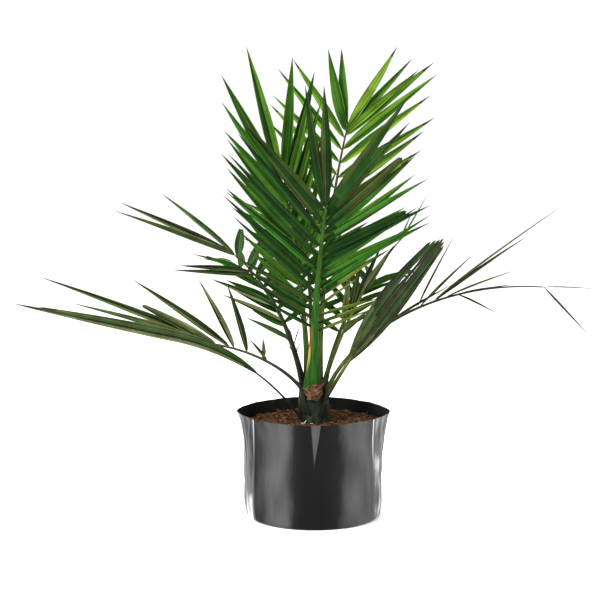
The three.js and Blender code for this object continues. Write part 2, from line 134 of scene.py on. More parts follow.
def between(pair, share):
    """The value at a share of the way from the first of a pair to the second."""
    return pair[0] + (pair[1] - pair[0]) * share


def ease(low, high, x):
    """0 below low, 1 above high, and 3s² - 2s³ of the share s in between."""
    share = np.clip((x - low) / (high - low), 0, 1)
    return share * share * (3 - 2 * share)


def unit(vectors):
    """Each vector divided by its length."""
    return vectors / np.linalg.norm(vectors, axis=-1, keepdims=True)


def joined(*parts):
    """Points from arrays of their coordinates."""
    return np.stack(np.broadcast_arrays(*parts), axis=-1)


def ring(count):
    """Angles that share out a full turn."""
    return np.linspace(0, 2 * np.pi, count, endpoint=False)


def wave_fan(dimensions, scale, seed, count):
    """Random directions with a pace of about one turn in each scale, and a random phase for each."""
    dice = np.random.default_rng(seed)
    pace = dice.uniform(*WAVE_PACE, (count, 1)) / scale
    return unit(dice.normal(size=(count, dimensions))) * pace, dice.uniform(0, 1, count)


def swell(place, scale, seed, count=20):
    """Smooth noise of about unit size: a sum of cosines along random directions."""
    heading, phase = wave_fan(place.shape[-1], scale, seed, count)
    return np.cos(2 * np.pi * (place @ heading.T + phase)).sum(-1) / np.sqrt(count / 2)


def crumple(place, scale, seed, count=7):
    """Facets that meet in sharp creases: a sum of triangle waves along random directions."""
    heading, phase = wave_fan(place.shape[-1], scale, seed, count)
    turns = place @ heading.T + phase
    return (4 * np.abs(turns - np.floor(turns) - 0.5) - 1).sum(-1) / np.sqrt(count / 3)


def vary(seed, trait):
    """A number from -1 to 1: the fraction of a large sine of the seed and trait, stretched."""
    x = np.sin((seed + trait) * SCRAMBLE_PACE) * SCRAMBLE_SIZE
    return 2 * (x - np.floor(x)) - 1


print("ease at the middle:", ease(0, 1, 0.5))

# %% [markdown]
# ## Shader tools
# Each finish is a Principled shader with its plain numbers set on its own sockets. Colours are written as
# the eye sees them, so they are turned into the linear values that a renderer mixes. Patterns read Object
# coordinates, which stay put because every piece's object sits at the origin.

# %% Shader helpers
SHADER = "Principled BSDF"


def linear(colour, factor=1.0):
    """A colour written as six hex digits, as linear red, green and blue times a factor, and full alpha."""
    parts = np.array([int(colour[i : i + 2], 16) for i in (0, 2, 4)]) / 255
    parts = np.where(parts <= 0.04045, parts / 12.92, ((parts + 0.055) / 1.055) ** 2.4)
    return (*(factor * parts), 1.0)


def node(tree, kind, inputs=(), **settings):
    """Adds a shader node. Inputs are pairs of a socket and a value, or an output that is linked to it."""
    made = tree.nodes.new(kind)
    for key, value in settings.items():
        setattr(made, key, value)
    for key, value in inputs:
        if isinstance(value, bpy.types.NodeSocket):
            tree.links.new(value, made.inputs[key])
        else:
            made.inputs[key].default_value = value
    return made


def object_place(tree, stretch=(1, 1, 1)):
    """Object coordinates, stretched along the axes."""
    place = node(tree, "ShaderNodeTexCoord").outputs["Object"]
    return node(tree, "ShaderNodeMapping", [("Vector", place), ("Scale", stretch)]).outputs["Vector"]


def noise(tree, place, scale, detail=3.0, rough=0.55):
    """The grey value of a noise texture with about so many blots a metre."""
    inputs = [("Vector", place), ("Scale", scale), ("Detail", detail), ("Roughness", rough)]
    return node(tree, "ShaderNodeTexNoise", inputs).outputs[0]


def ramp(tree, value, stops):
    """A colour ramp through stops: a place from 0 to 1, a colour, and a factor on it if there is one."""
    made = node(tree, "ShaderNodeValToRGB", [("Fac", value)])
    elements = made.color_ramp.elements
    while len(elements) < len(stops):
        elements.new(0.5)
    for element, (place, *colour) in zip(elements, stops):
        element.position = place
        element.color = linear(*colour)
    return made.outputs["Color"]


def math(tree, operation, a, b):
    """One arithmetic node."""
    return node(tree, "ShaderNodeMath", [(0, a), (1, b)], operation=operation).outputs[0]


def read_value(tree, key):
    """The number that each point of a piece was given under a name."""
    return node(tree, "ShaderNodeAttribute", attribute_name=key).outputs["Fac"]


def blank(name, roughness, specular):
    """A new material, with these two numbers on its shader, and its node tree."""
    material = bpy.data.materials.new(name)
    material.use_nodes = True
    inputs = material.node_tree.nodes[SHADER].inputs
    inputs["Roughness"].default_value = roughness
    inputs["Specular IOR Level"].default_value = specular
    return material, material.node_tree


def complete(material, colour, height, depth):
    """Links a colour to a material's shader, and tilts its shading as if a grey value were a relief so many
    millimetres deep."""
    tree = material.node_tree
    inputs = tree.nodes[SHADER].inputs
    tilted = node(tree, "ShaderNodeBump", [("Height", height), ("Distance", depth * MM)])
    tree.links.new(colour, inputs["Base Color"])
    tree.links.new(tilted.outputs["Normal"], inputs["Normal"])
    return material


print("mid grey in linear light:", round(linear("808080")[0], 3))

# %% [markdown]
# ## Camera, floor and light
# The camera looks slightly down from about two and a half metres, with a long lens, so that the bag's rim is
# a flat ellipse. A white world gives the even light of a studio with white walls. Two tall soft boxes, left
# and right of the camera, light the film and the leaves from the sides, and one above models the leaves.

# %% Camera
AIM = np.array([-20.25, 0.0, 328.6])
DISTANCE, FRAME_WIDTH, SENSOR = 2600.0, 900.0, 36.0
DIP = np.radians(7.55)

camera_data = bpy.data.cameras.new("studio_camera")
camera_data.sensor_width = SENSOR
camera_data.lens = SENSOR * DISTANCE / FRAME_WIDTH
camera = stand("studio_camera", camera_data)
camera.location = (AIM - DISTANCE * np.array([0.0, np.cos(DIP), -np.sin(DIP)])) * MM
camera.rotation_euler = (np.pi / 2 - DIP, 0, 0)
scene.camera = camera
print("lens:", round(camera_data.lens, 1), "mm at", [round(x, 3) for x in camera.location])

# %% Light
WORLD_STRENGTH = 1.06
LIGHT_AIM = Vector((0.0, 0.0, 320.0))
SOFTBOXES = {
    "left_softbox": ((-1700, -1500, 1700), (1200, 1600), 150.0),
    "right_softbox": ((2000, -900, 900), (1000, 1800), 30.0),
    "top_softbox": ((0, 300, 2600), (1400, 1400), 50.0),
}

scene.view_settings.view_transform = "Standard"
scene.world = bpy.data.worlds.new("white_studio")
scene.world.use_nodes = True
sky = scene.world.node_tree.nodes["Background"]
sky.inputs["Color"].default_value = (1, 1, 1, 1)
sky.inputs["Strength"].default_value = WORLD_STRENGTH
for name, (place, size, watts) in SOFTBOXES.items():
    lamp = bpy.data.lights.new(name, "AREA")
    lamp.shape = "RECTANGLE"
    lamp.size, lamp.size_y = np.array(size) * MM
    lamp.energy = watts
    holder = stand(name, lamp)
    holder.location = Vector(place) * MM
    holder.rotation_euler = (LIGHT_AIM - Vector(place)).to_track_quat("-Z", "Y").to_euler()
    holder.visible_camera = False
    # The soft boxes don't show in glossy reflections; the film's reflections are painted into its colour
    # instead.
    holder.visible_glossy = False
print("soft boxes:", len(SOFTBOXES))

# %% Floor
FLOOR_HALF, FLOOR_DROP = 120.0, 0.0002

floor_finish, floor_tree = blank("pale_floor", 0.9, 0.1)
floor_tree.nodes[SHADER].inputs["Base Color"].default_value = linear("fcfcfb")
floor_mesh = bpy.data.meshes.new("floor")
corners = [(FLOOR_HALF * x, FLOOR_HALF * y, -FLOOR_DROP) for x, y in ((-1, -1), (1, -1), (1, 1), (-1, 1))]
floor_mesh.from_pydata(corners, [], [(0, 1, 2, 3)])
floor_mesh.materials.append(floor_finish)
floor = stand("floor", floor_mesh)
print("floor side:", 2 * FLOOR_HALF, "m")

# %% [markdown]
# ## The bag's film
# The bag is a tube of black film that was stored flat, so it keeps the sharp fold lines of its gussets, its
# rim still draws out to a fold on the left and right, and its sides are crumpled. It could be draped by a
# cloth solver, but the folds are few and known, so the film is one closed surface instead: a profile that
# runs up the inside, over the rim and down the outside, carried round the plant, and shifted in and out by
# creases. Because inside and outside share the shift, the film stays thin everywhere.

# %% Film finishes
FILM_STREAK, STREAK_DRAWN = 0.2, (1, 1, 0.25)
STREAK_BLOTS, CRINKLE_BLOTS, FILM_DETAIL = 90.0, 60.0, 4.0
# The outer film's ramp runs from black film to light grey; its light end is painted reflection.
FILM_STOPS = [(0.1, "0c0c0c"), (0.35, "151515"), (0.7, "484948"), (1, "c2c3c2")]


def film_finish(name, stops, roughness, specular, crinkle):
    """Film: black, lightened to grey by the painted sheen that each point was given, which is painted
    reflection, with fine upright streaks in it, and crinkled."""
    material, tree = blank(name, roughness, specular)
    streak = noise(tree, object_place(tree, STREAK_DRAWN), STREAK_BLOTS, FILM_DETAIL)
    crinkles = noise(tree, object_place(tree), CRINKLE_BLOTS, FILM_DETAIL)
    tone = math(tree, "ADD", read_value(tree, "haze"), math(tree, "MULTIPLY", streak, FILM_STREAK))
    return complete(material, ramp(tree, tone, stops), crinkles, crinkle)


film_outside = film_finish("bag_film_outside", FILM_STOPS, 0.32, 0.04, 0.4)
film_inside = film_finish("bag_film_inside", [(0, "080908"), (1, "1c1d1a")], 0.7, 0.02, 0.3)
print("film finishes made")

# %% Film shape
BAG_HEIGHT, BAG_RIM, BAG_FOOT, BAG_FLARE_POWER = 160.0, 115.0, 102.0, 5
BAG_FOLD, FOOT_ROUND, FILM, BAG_FLOOR = 0.24, 7.0, 0.8, 1.5
FOLD_AT, FOLD_OUT = np.radians(58), 87.0
GUSSETS = np.array([FOLD_AT - np.pi, -FOLD_AT, FOLD_AT, np.pi - FOLD_AT])
GUSSET_RIDGE, GUSSET_REACH = 2.6, 3.6
RIM_FOLDS = np.radians([-142, -168, 133])
RIM_FOLD_RIDGE, RIM_FOLD_REACH, RIM_FOLD_GROWS = -2.2, 5.0, (110, 160)
CREASE_DEPTH, CREASE_SCALE, CREASE_UPRIGHT = 0.4, 17.0, (1, 0.24)
SLANT_SHARE, SLANT_SCALE, SLANT_DRAWN = 0.6, 26.0, (0.5, 1)
PANEL_SWELL, PANEL_SCALE = 0.6, 110.0
SIDE_STARTS, SIDE_ENDS = (58, 66), (114, 122)
SIDE_BULGE, BULGE_ENDS, FOOT_SETTLES = 2.4, (125, 155), (0, 30)
PLEAT_FOOT, PLEAT_TURN = 86.0, -1.2
PLEAT_LEFT, PLEAT_RIGHT, PLEAT_DEPTH, PLEAT_LIP = -6.0, 10.4, 3.4, 1.6


def bag_radius(height):
    """The bag's outer radius: foot radius, growing to the rim radius with the fifth power of height."""
    return between((BAG_FOOT, BAG_RIM), np.clip(height / BAG_HEIGHT, 0, 1) ** BAG_FLARE_POWER)


def pleat(arc, height):
    """A wedge in the middle of the front, from a point up to the rim: a facet that falls back towards its
    right-hand line and then returns to the film in a narrow lip."""
    grown = np.clip((height - PLEAT_FOOT) / (BAG_HEIGHT - PLEAT_FOOT), 0, 1)
    left, right = PLEAT_TURN + PLEAT_LEFT * grown, PLEAT_TURN + PLEAT_RIGHT * grown
    facet = np.clip((arc - left) / np.maximum(right - left, WELD), 0, 1)
    lip = np.clip((arc - right) / np.maximum(PLEAT_LIP * grown, WELD), 0, 1)
    return -PLEAT_DEPTH * grown * (facet - lip)


def side_creases(flat):
    """Creases of about unit size: facets drawn out along the height, crossed by weaker ones that lie."""
    lying = crumple(flat * SLANT_DRAWN, SLANT_SCALE, 5)
    return crumple(flat * CREASE_UPRIGHT, CREASE_SCALE, 8) + SLANT_SHARE * lying


def ridges(theta, lines, high, reach):
    """Ridges along upright lines of the film, each with the shape of exp(-distance)."""
    return high * np.exp(-np.abs(theta[..., None] - lines) * BAG_FOOT / reach).sum(-1)


def film_shift(theta, height):
    """How far the film stands out of its turned shape, by the angle from the front and the height: gusset
    ridges, rim folds, crumpled sides, soft panels and the pleat."""
    arc = theta * BAG_FOOT
    flat = joined(arc, height)
    turn = np.abs(np.degrees(theta))
    shift = PANEL_SWELL * swell(flat, PANEL_SCALE, 3) + ridges(theta, GUSSETS, GUSSET_RIDGE, GUSSET_REACH)
    rim_folds = ridges(theta, RIM_FOLDS, RIM_FOLD_RIDGE, RIM_FOLD_REACH)
    shift = shift + ease(*RIM_FOLD_GROWS, height) * rim_folds
    sides = ease(*SIDE_STARTS, turn) * (1 - ease(*SIDE_ENDS, turn))
    bulge = SIDE_BULGE * (1 - ease(*BULGE_ENDS, height))
    shift = shift + sides * (bulge + CREASE_DEPTH * side_creases(flat))
    return (shift + pleat(arc, height)) * ease(*FOOT_SETTLES, height)


def standing_angle(theta, height):
    """Where an angle of the film stands round the bag. The folds stay upright while the bag flares, so the
    angle is stretched in two parts: from the middle of a panel to its fold, and from there to the side."""
    quarter = np.pi / 2
    turn = np.abs(theta)
    near = np.minimum(turn, np.pi - turn)
    fold = np.arcsin(FOLD_OUT / bag_radius(height))
    side = quarter - (quarter - near) / (quarter - FOLD_AT) * (quarter - fold)
    stood = np.where(near < FOLD_AT, near / FOLD_AT * fold, side)
    return np.sign(theta) * np.where(turn < quarter, stood, np.pi - stood)


def bag_point(theta, radius, height):
    """A point at an angle of the film from the front. The front and back are drawn in towards the rim, by
    the power of |y| over the radius, so that the left and right come to a fold."""
    folded = BAG_FOLD * np.clip(height / BAG_HEIGHT, 0, 1) ** 2
    stood = standing_angle(theta, height)
    return joined(radius * np.sin(stood), -radius * np.cos(stood) * np.abs(np.cos(stood)) ** folded, height)


print("bag radius half way up:", round(float(bag_radius(BAG_HEIGHT / 2)), 1))

# %% Film painted sheen
# Painted reflection on the film: how far each zone, side, fold line and the pleat's facet is lightened.
ZONE_SHEEN, ZONE_RIGHT, ZONE_LEFT = (0.46, 0.5), (3, 38), (6, 26)
ZONE_FADE, ZONE_FADES = 0.4, (36, 52)
ZONE_STREAK, ZONE_SCALE, ZONE_DRAWN = 0.07, 34, (1, 0.4)
SIDE_SHEEN, LOW_SHEEN, CREASE_SHEEN = (0.03, 0.57), (0.82, 0.06), 0.06
SIDE_LIGHTS, SIDE_FADE, SIDE_FADES = (56, 62), 0.45, (68, 86)
FOLD_SHEEN, FOLD_LINE, FOLD_SHARES, FOLD_LIGHTS = (0.86, 1.0), 1.1, (0.6, 1), (60, 150)
PLEAT_SHEEN, FACET_LIGHTS = 0.49, (0.025, 0.25)


def film_haze(theta, height):
    """Painted reflection on the film, from 0 to 1, by angle and height: soft upright zones of painted
    reflection in front of the gussets, painted glints on the crumpled sides, painted highlight lines along the
    folds, and a painted highlight on the pleat's facet. The back is as the front."""
    arc = theta * BAG_FOOT
    flat = joined(arc, height)
    turn = np.abs(np.degrees(theta))
    turn = np.minimum(turn, 180 - turn)
    right = theta > 0
    left_zone = ease(*ZONE_LEFT, turn) - ZONE_FADE * ease(*ZONE_FADES, turn)
    zones = between(ZONE_SHEEN, right) * np.where(right, ease(*ZONE_RIGHT, turn), left_zone)
    zones = zones * (1 + ZONE_STREAK * swell(flat * ZONE_DRAWN, ZONE_SCALE, 12))
    sheen_level = between(SIDE_SHEEN, right) + between(LOW_SHEEN, right) * (1 - height / BAG_HEIGHT)
    sides = ease(*SIDE_LIGHTS, turn) * (1 - SIDE_FADE * ease(*SIDE_FADES, turn))
    sides = sides * (sheen_level + CREASE_SHEEN * side_creases(flat))
    away = np.abs(turn - np.degrees(FOLD_AT)) * np.radians(BAG_FOOT)
    folds = between(FOLD_SHEEN, right) * np.exp(-away / FOLD_LINE)
    folds = folds * between(FOLD_SHARES, ease(*FOLD_LIGHTS, height))
    facet = PLEAT_SHEEN * ease(*FACET_LIGHTS, -pleat(arc, height) / PLEAT_DEPTH)
    return np.clip(np.maximum(np.maximum(zones, sides), np.maximum(folds, facet)), 0, 1)


print("haze half way up the right-hand fold:", film_haze(np.array(FOLD_AT), BAG_HEIGHT / 2).round(2))

# %% Film mesh
FRONT_TURN, FRONT_STEP, OTHER_STEP, FILM_CRISP = 16, 0.4, 1.0, 14
INNER_LOW, INNER_HIGH_FROM, INNER_HIGH_ROWS = (12, 118, 8), 120, 24
OUTER_ROWS, LIP_ROWS, FOOT_ROWS = 84, 5, 6
INSIDE_FLOOR, UNDERSIDE = np.array([0, 0.5, 0.93]), np.array([0.7, 0.35, 0])
RIM_MIDDLE = BAG_HEIGHT - FILM / 2

front_angles = np.arange(-FRONT_TURN, FRONT_TURN, FRONT_STEP)
other_angles = np.arange(FRONT_TURN, 360 - FRONT_TURN, OTHER_STEP)
film_theta = np.radians(np.concatenate([front_angles, other_angles]))[None, :]
film_theta = (film_theta + np.pi) % (2 * np.pi) - np.pi
inner_high = np.linspace(INNER_HIGH_FROM, RIM_MIDDLE, INNER_HIGH_ROWS)
inner_height = np.concatenate([np.linspace(*INNER_LOW), inner_high])
outer_height = np.linspace(RIM_MIDDLE, FOOT_ROUND, OUTER_ROWS)
lip_angle = np.linspace(np.pi, 0, LIP_ROWS)[1:-1]
foot_angle = np.linspace(0, np.pi / 2, FOOT_ROWS)[1:]
film_profile = np.concatenate([
    (np.full(len(INSIDE_FLOOR), BAG_FLOOR), INSIDE_FLOOR * BAG_FOOT),
    (inner_height, bag_radius(inner_height) - FILM),
    (BAG_HEIGHT + FILM / 2 * (np.sin(lip_angle) - 1), BAG_RIM + FILM / 2 * (np.cos(lip_angle) - 1)),
    (outer_height, bag_radius(outer_height)),
    (FOOT_ROUND * (1 - np.sin(foot_angle)), BAG_FOOT - FOOT_ROUND * (1 - np.cos(foot_angle))),
    (np.zeros(len(UNDERSIDE)), (BAG_FOOT - FOOT_ROUND) * UNDERSIDE),
], axis=1)
film_height, film_radius = film_profile[..., None]
film_radius = film_radius + film_shift(film_theta, film_height) * (film_radius > 0)
film_kinds = np.arange(len(film_height) - 1)[:, None] < len(INSIDE_FLOOR) + len(inner_height)
piece(
    "bag_film",
    bag_point(film_theta, film_radius, film_height),
    [film_outside, film_inside],
    "bag_film",
    ["grow_bag"],
    kinds=film_kinds,
    crisp=FILM_CRISP,
    # Each point's painted sheen: painted reflection and highlights on the film.
    haze=film_haze(film_theta, film_height),
)

# %% [markdown]
# ## Soil
# Coir and soil fill the bag: a lumpy bed, thousands of crumbs and many short shreds of coir. The bed is a
# closed profile carried round the plant, as the film is. The crumbs could be particles, but an export drops
# those, so each is a small closed grid and all of them are one mesh. Four plain tints are dealt out by crumb.

# %% Soil finishes
CRUMB_TINTS = [("180f09", "2a190d"), ("2c1b10", "412919"), ("3e2918", "573a26"), ("563b27", "765539")]


def grain_finish(name, stops, scale=420.0, rough=0.7, drawn=1, relief=0.6, roughness=0.95, specular=0.15):
    """A dull finish in fine grains, or in streaks if it is drawn out upright, with a relief of the same."""
    material, tree = blank(name, roughness, specular)
    grain = noise(tree, object_place(tree, (1, 1, drawn)), scale, 4.0, rough)
    return complete(material, ramp(tree, grain, stops), grain, relief)


def soil_finish(name, dark, light):
    """Dull earth or fibre: two close tints in fine grains."""
    return grain_finish(name, [(0.35, dark), (0.68, light)])


soil_bed_finish = soil_finish("soil_bed", "160d07", "2c1b0d")
crumb_finishes = [soil_finish(f"soil_crumb_{i}", *tints) for i, tints in enumerate(CRUMB_TINTS)]
print("soil finishes:", 1 + len(crumb_finishes))

# %% Soil bed
SOIL_TOP, SOIL_EDGE_DROP, SOIL_CLEAR = 143.0, 2.0, 0.4
SOIL_EDGE = SOIL_TOP - SOIL_EDGE_DROP
BED_COLUMNS, BED_WALL_ROWS, BED_TOP_ROWS = 220, 14, 46
BED_LIFT, BED_FLOOR, BED_WALL = 0.6, (0, 0.9), (BAG_FLOOR + 9, SOIL_EDGE - 3)
BED_REACH, BED_LUMPS = 100, ((0.9, 17, 21), (0.5, 7, 22))


def soil_edge(theta, height):
    """The soil's radius: the film's inner face, a little clear of it."""
    return bag_radius(height) + film_shift(theta, height) - FILM - SOIL_CLEAR


def soil_height(theta, share):
    """The bed's height at a share of the way from the stem to the film: lower at the edge, with lumps."""
    flat = BED_REACH * joined(share * np.sin(theta), share * np.cos(theta))
    uneven = sum(high * swell(flat, scale, seed) for high, scale, seed in BED_LUMPS)
    return SOIL_TOP - SOIL_EDGE_DROP * share**2 + uneven


bed_theta = (ring(BED_COLUMNS) - np.pi)[None, :]
bed_bottom = np.array(BED_FLOOR)[:, None] * BAG_FOOT
bed_wall = np.linspace(*BED_WALL, BED_WALL_ROWS)[:, None]
bed_share = np.linspace(1, 0, BED_TOP_ROWS)[:, None]
bed_top = bag_point(bed_theta, bed_share * soil_edge(bed_theta, SOIL_EDGE), soil_height(bed_theta, bed_share))
bed_top[-1] = (0, 0, SOIL_TOP)
bed_points = [
    bag_point(bed_theta, bed_bottom, np.full_like(bed_bottom, BAG_FLOOR + BED_LIFT)),
    bag_point(bed_theta, soil_edge(bed_theta, bed_wall), bed_wall),
    bed_top,
]
piece("soil_bed", np.concatenate(bed_points), [soil_bed_finish], "soil", ["soil"])

# %% Soil crumbs
CRUMBS, CRUMB_SIZE, CRUMB_SIDES, CRUMB_CRISP = 3400, (0.7, 2.5), 6, 35
CRUMB_TURN, CRUMB_PUSH, CRUMB_STRETCH, CRUMB_SQUASH = (0, 6), (0.7, 1.3), (0.7, 1.4), (1, 1, 0.7)
CRUMB_RINGS = np.array([1, 0.45, -0.45, -1])[:, None]
FIRST_SHARE, EDGE_CLEAR = 0.03, 1.5


def lumps(dice, size):
    """Small closed lumps round the origin: poles and two rings, each point pushed in or out at random."""
    count = len(size)
    turn = ring(CRUMB_SIDES) + dice.uniform(*CRUMB_TURN, (count, 1, 1))
    around = np.sqrt(1 - CRUMB_RINGS**2)
    shape = joined(around * np.cos(turn), around * np.sin(turn), CRUMB_RINGS)
    push = dice.uniform(*CRUMB_PUSH, (*shape.shape[:3], 1))
    push[:, [0, -1]] = 1
    stretch = dice.uniform(*CRUMB_STRETCH, (count, 1, 1, 3)) * CRUMB_SQUASH
    return shape * push * stretch * size[:, None, None, None]


def on_soil(dice, count):
    """Random places on the bed, evenly spread: the share of the radius is the root of an even number."""
    theta = dice.uniform(-np.pi, np.pi, count)
    share = np.sqrt(dice.uniform(FIRST_SHARE, 1, count))
    return bag_point(theta, share * (soil_edge(theta, SOIL_EDGE) - EDGE_CLEAR), soil_height(theta, share))


crumb_dice = np.random.default_rng(5)
crumb_size = between(CRUMB_SIZE, crumb_dice.uniform(0, 1, CRUMBS) ** 2)
crumb_points = lumps(crumb_dice, crumb_size) + on_soil(crumb_dice, CRUMBS)[:, None, None, :]
crumb_kinds = crumb_dice.integers(0, len(CRUMB_TINTS), (CRUMBS, 1, 1))
piece("soil_crumbs", crumb_points, crumb_finishes, "soil", kinds=crumb_kinds, crisp=CRUMB_CRISP)

# %% Coir shreds
SHREDS, SHRED_LENGTH, SHRED_RADIUS = 2600, (4.0, 13.0), (0.25, 0.9)
STEEP, STRAND_BLUNT, THICKEST_AT = 0.9, 1.02, 0.45
SHRED_TILT, SHRED_BEND, SHRED_INSET, SHRED_LIFT = 0.18, (0.25, 0.25, 0.1), (0.94, 0.94, 1), (0, 0, 1.2)


def strands(start, direction, bend, length, radius, stations=5, sides=3):
    """Thin closed tubes: from a start along a direction, bowed by bend times the square of the share of the
    length, and thinner towards both ends, as (count, rows, columns, 3)."""
    u = np.linspace(0, 1, stations)[:, None]
    direction, bend = direction[:, None], bend[:, None]
    path = start[:, None] + length[:, None, None] * (u * direction + u**2 * bend)
    tangent = unit(direction + 2 * u * bend)
    helper = np.where(np.abs(tangent[..., 2:]) < STEEP, (0.0, 0.0, 1.0), (1.0, 0.0, 0.0))
    first = unit(np.cross(tangent, helper))
    second = np.cross(tangent, first)
    turn = ring(sides)[:, None]
    thinner = np.abs(2 * (u[:, 0] - THICKEST_AT)) ** 3
    thick = radius[:, None] * np.sqrt(np.clip(STRAND_BLUNT - thinner, 0, 1))
    thick[:, [0, -1]] = 0
    round_it = first[..., None, :] * np.cos(turn) + second[..., None, :] * np.sin(turn)
    return path[..., None, :] + thick[..., None, None] * round_it


shred_dice = np.random.default_rng(6)
shred_turn = shred_dice.uniform(0, 2 * np.pi, SHREDS)
shred_way = joined(np.cos(shred_turn), np.sin(shred_turn), shred_dice.normal(0, SHRED_TILT, SHREDS))
shred_points = strands(
    on_soil(shred_dice, SHREDS) * SHRED_INSET + SHRED_LIFT,
    shred_way,
    shred_dice.normal(0, SHRED_BEND, (SHREDS, 3)),
    between(SHRED_LENGTH, shred_dice.uniform(0, 1, SHREDS) ** 2),
    between(SHRED_RADIUS, shred_dice.uniform(0, 1, SHREDS)),
)
shred_kinds = shred_dice.integers(1, len(CRUMB_TINTS), (SHREDS, 1, 1))
piece("coir_shreds", shred_points, crumb_finishes, "soil", kinds=shred_kinds)

# %% [markdown]
# ## The leaves' rule
# Twelve leaves stand on the stem. A rachis leaves its foot at some heading and rise and arches over. Leaflets
# sit in rows along it, each splayed from the rachis and lifted out of the frond's plane, a little off its
# place. This is the rule that the model's solids follow, written again, with the same numbers.

# %% Table of leaves
LATE, EVEN, EARLY = 1.4, 1.0, 0.6
LEFT, RIGHT, BY_CHANCE = -1, 1, -1

# A row of leaflets has first and last values, from its lowest to its highest. Blunt lists those whose tip is
# broken off, tints are dealt out along the row in turn, instead of by chance, and full makes the blades
# fuller or slimmer than the solids.
ROW_FIELDS = "side count along length splay lift width blunt tints full"
Row = namedtuple("Row", ROW_FIELDS, defaults=((), (BY_CHANCE,), 1))

# A leaf has the place of its foot, the run of its rachis, the stalk's radius at foot and tip, its kind of
# green, its rows, the deal of its tints, the darker tints of its leaflets' roots, which are painted shade near
# the rachis, its stalk's finish if that isn't of its kind, the share where its bend ends, how deep its sheath
# lies in the stem, and whether its stalk is a CAD node of its own. An undivided blade has a start, a width and
# a skew.
LEAF_FIELDS = "foot heading rise arch bend length stalk kind rows deal roots finish roll turn settle sunk"
LEAF_DEFAULTS = ((), (0, 1, 2, 3), (), None, 0, 0, 1, 3, False, 0, 0, 0)
Leaf = namedtuple("Leaf", LEAF_FIELDS + " split start width skew", defaults=LEAF_DEFAULTS)


def lone(side, *values, **more):
    """A row of one leaflet, whose first values are its last."""
    return Row(side, 1, *[(value, value) for value in values], **more)


def back_rows(count, start, right, left, tip, splay, width):
    """The rows of a frond at the back: one on each side, and two leaflets at the tip."""
    turned, lift, wide = (splay, 34), (10, 10), (9, width)
    sides = [(RIGHT, (start + 0.02, 0.96), right), (LEFT, (start, 0.94), left)]
    rows = [Row(side, count, along, length, turned, lift, wide) for side, along, length in sides]
    return rows + [lone(side, 0.985, tip, 10, 0, width) for side in (RIGHT, LEFT)]
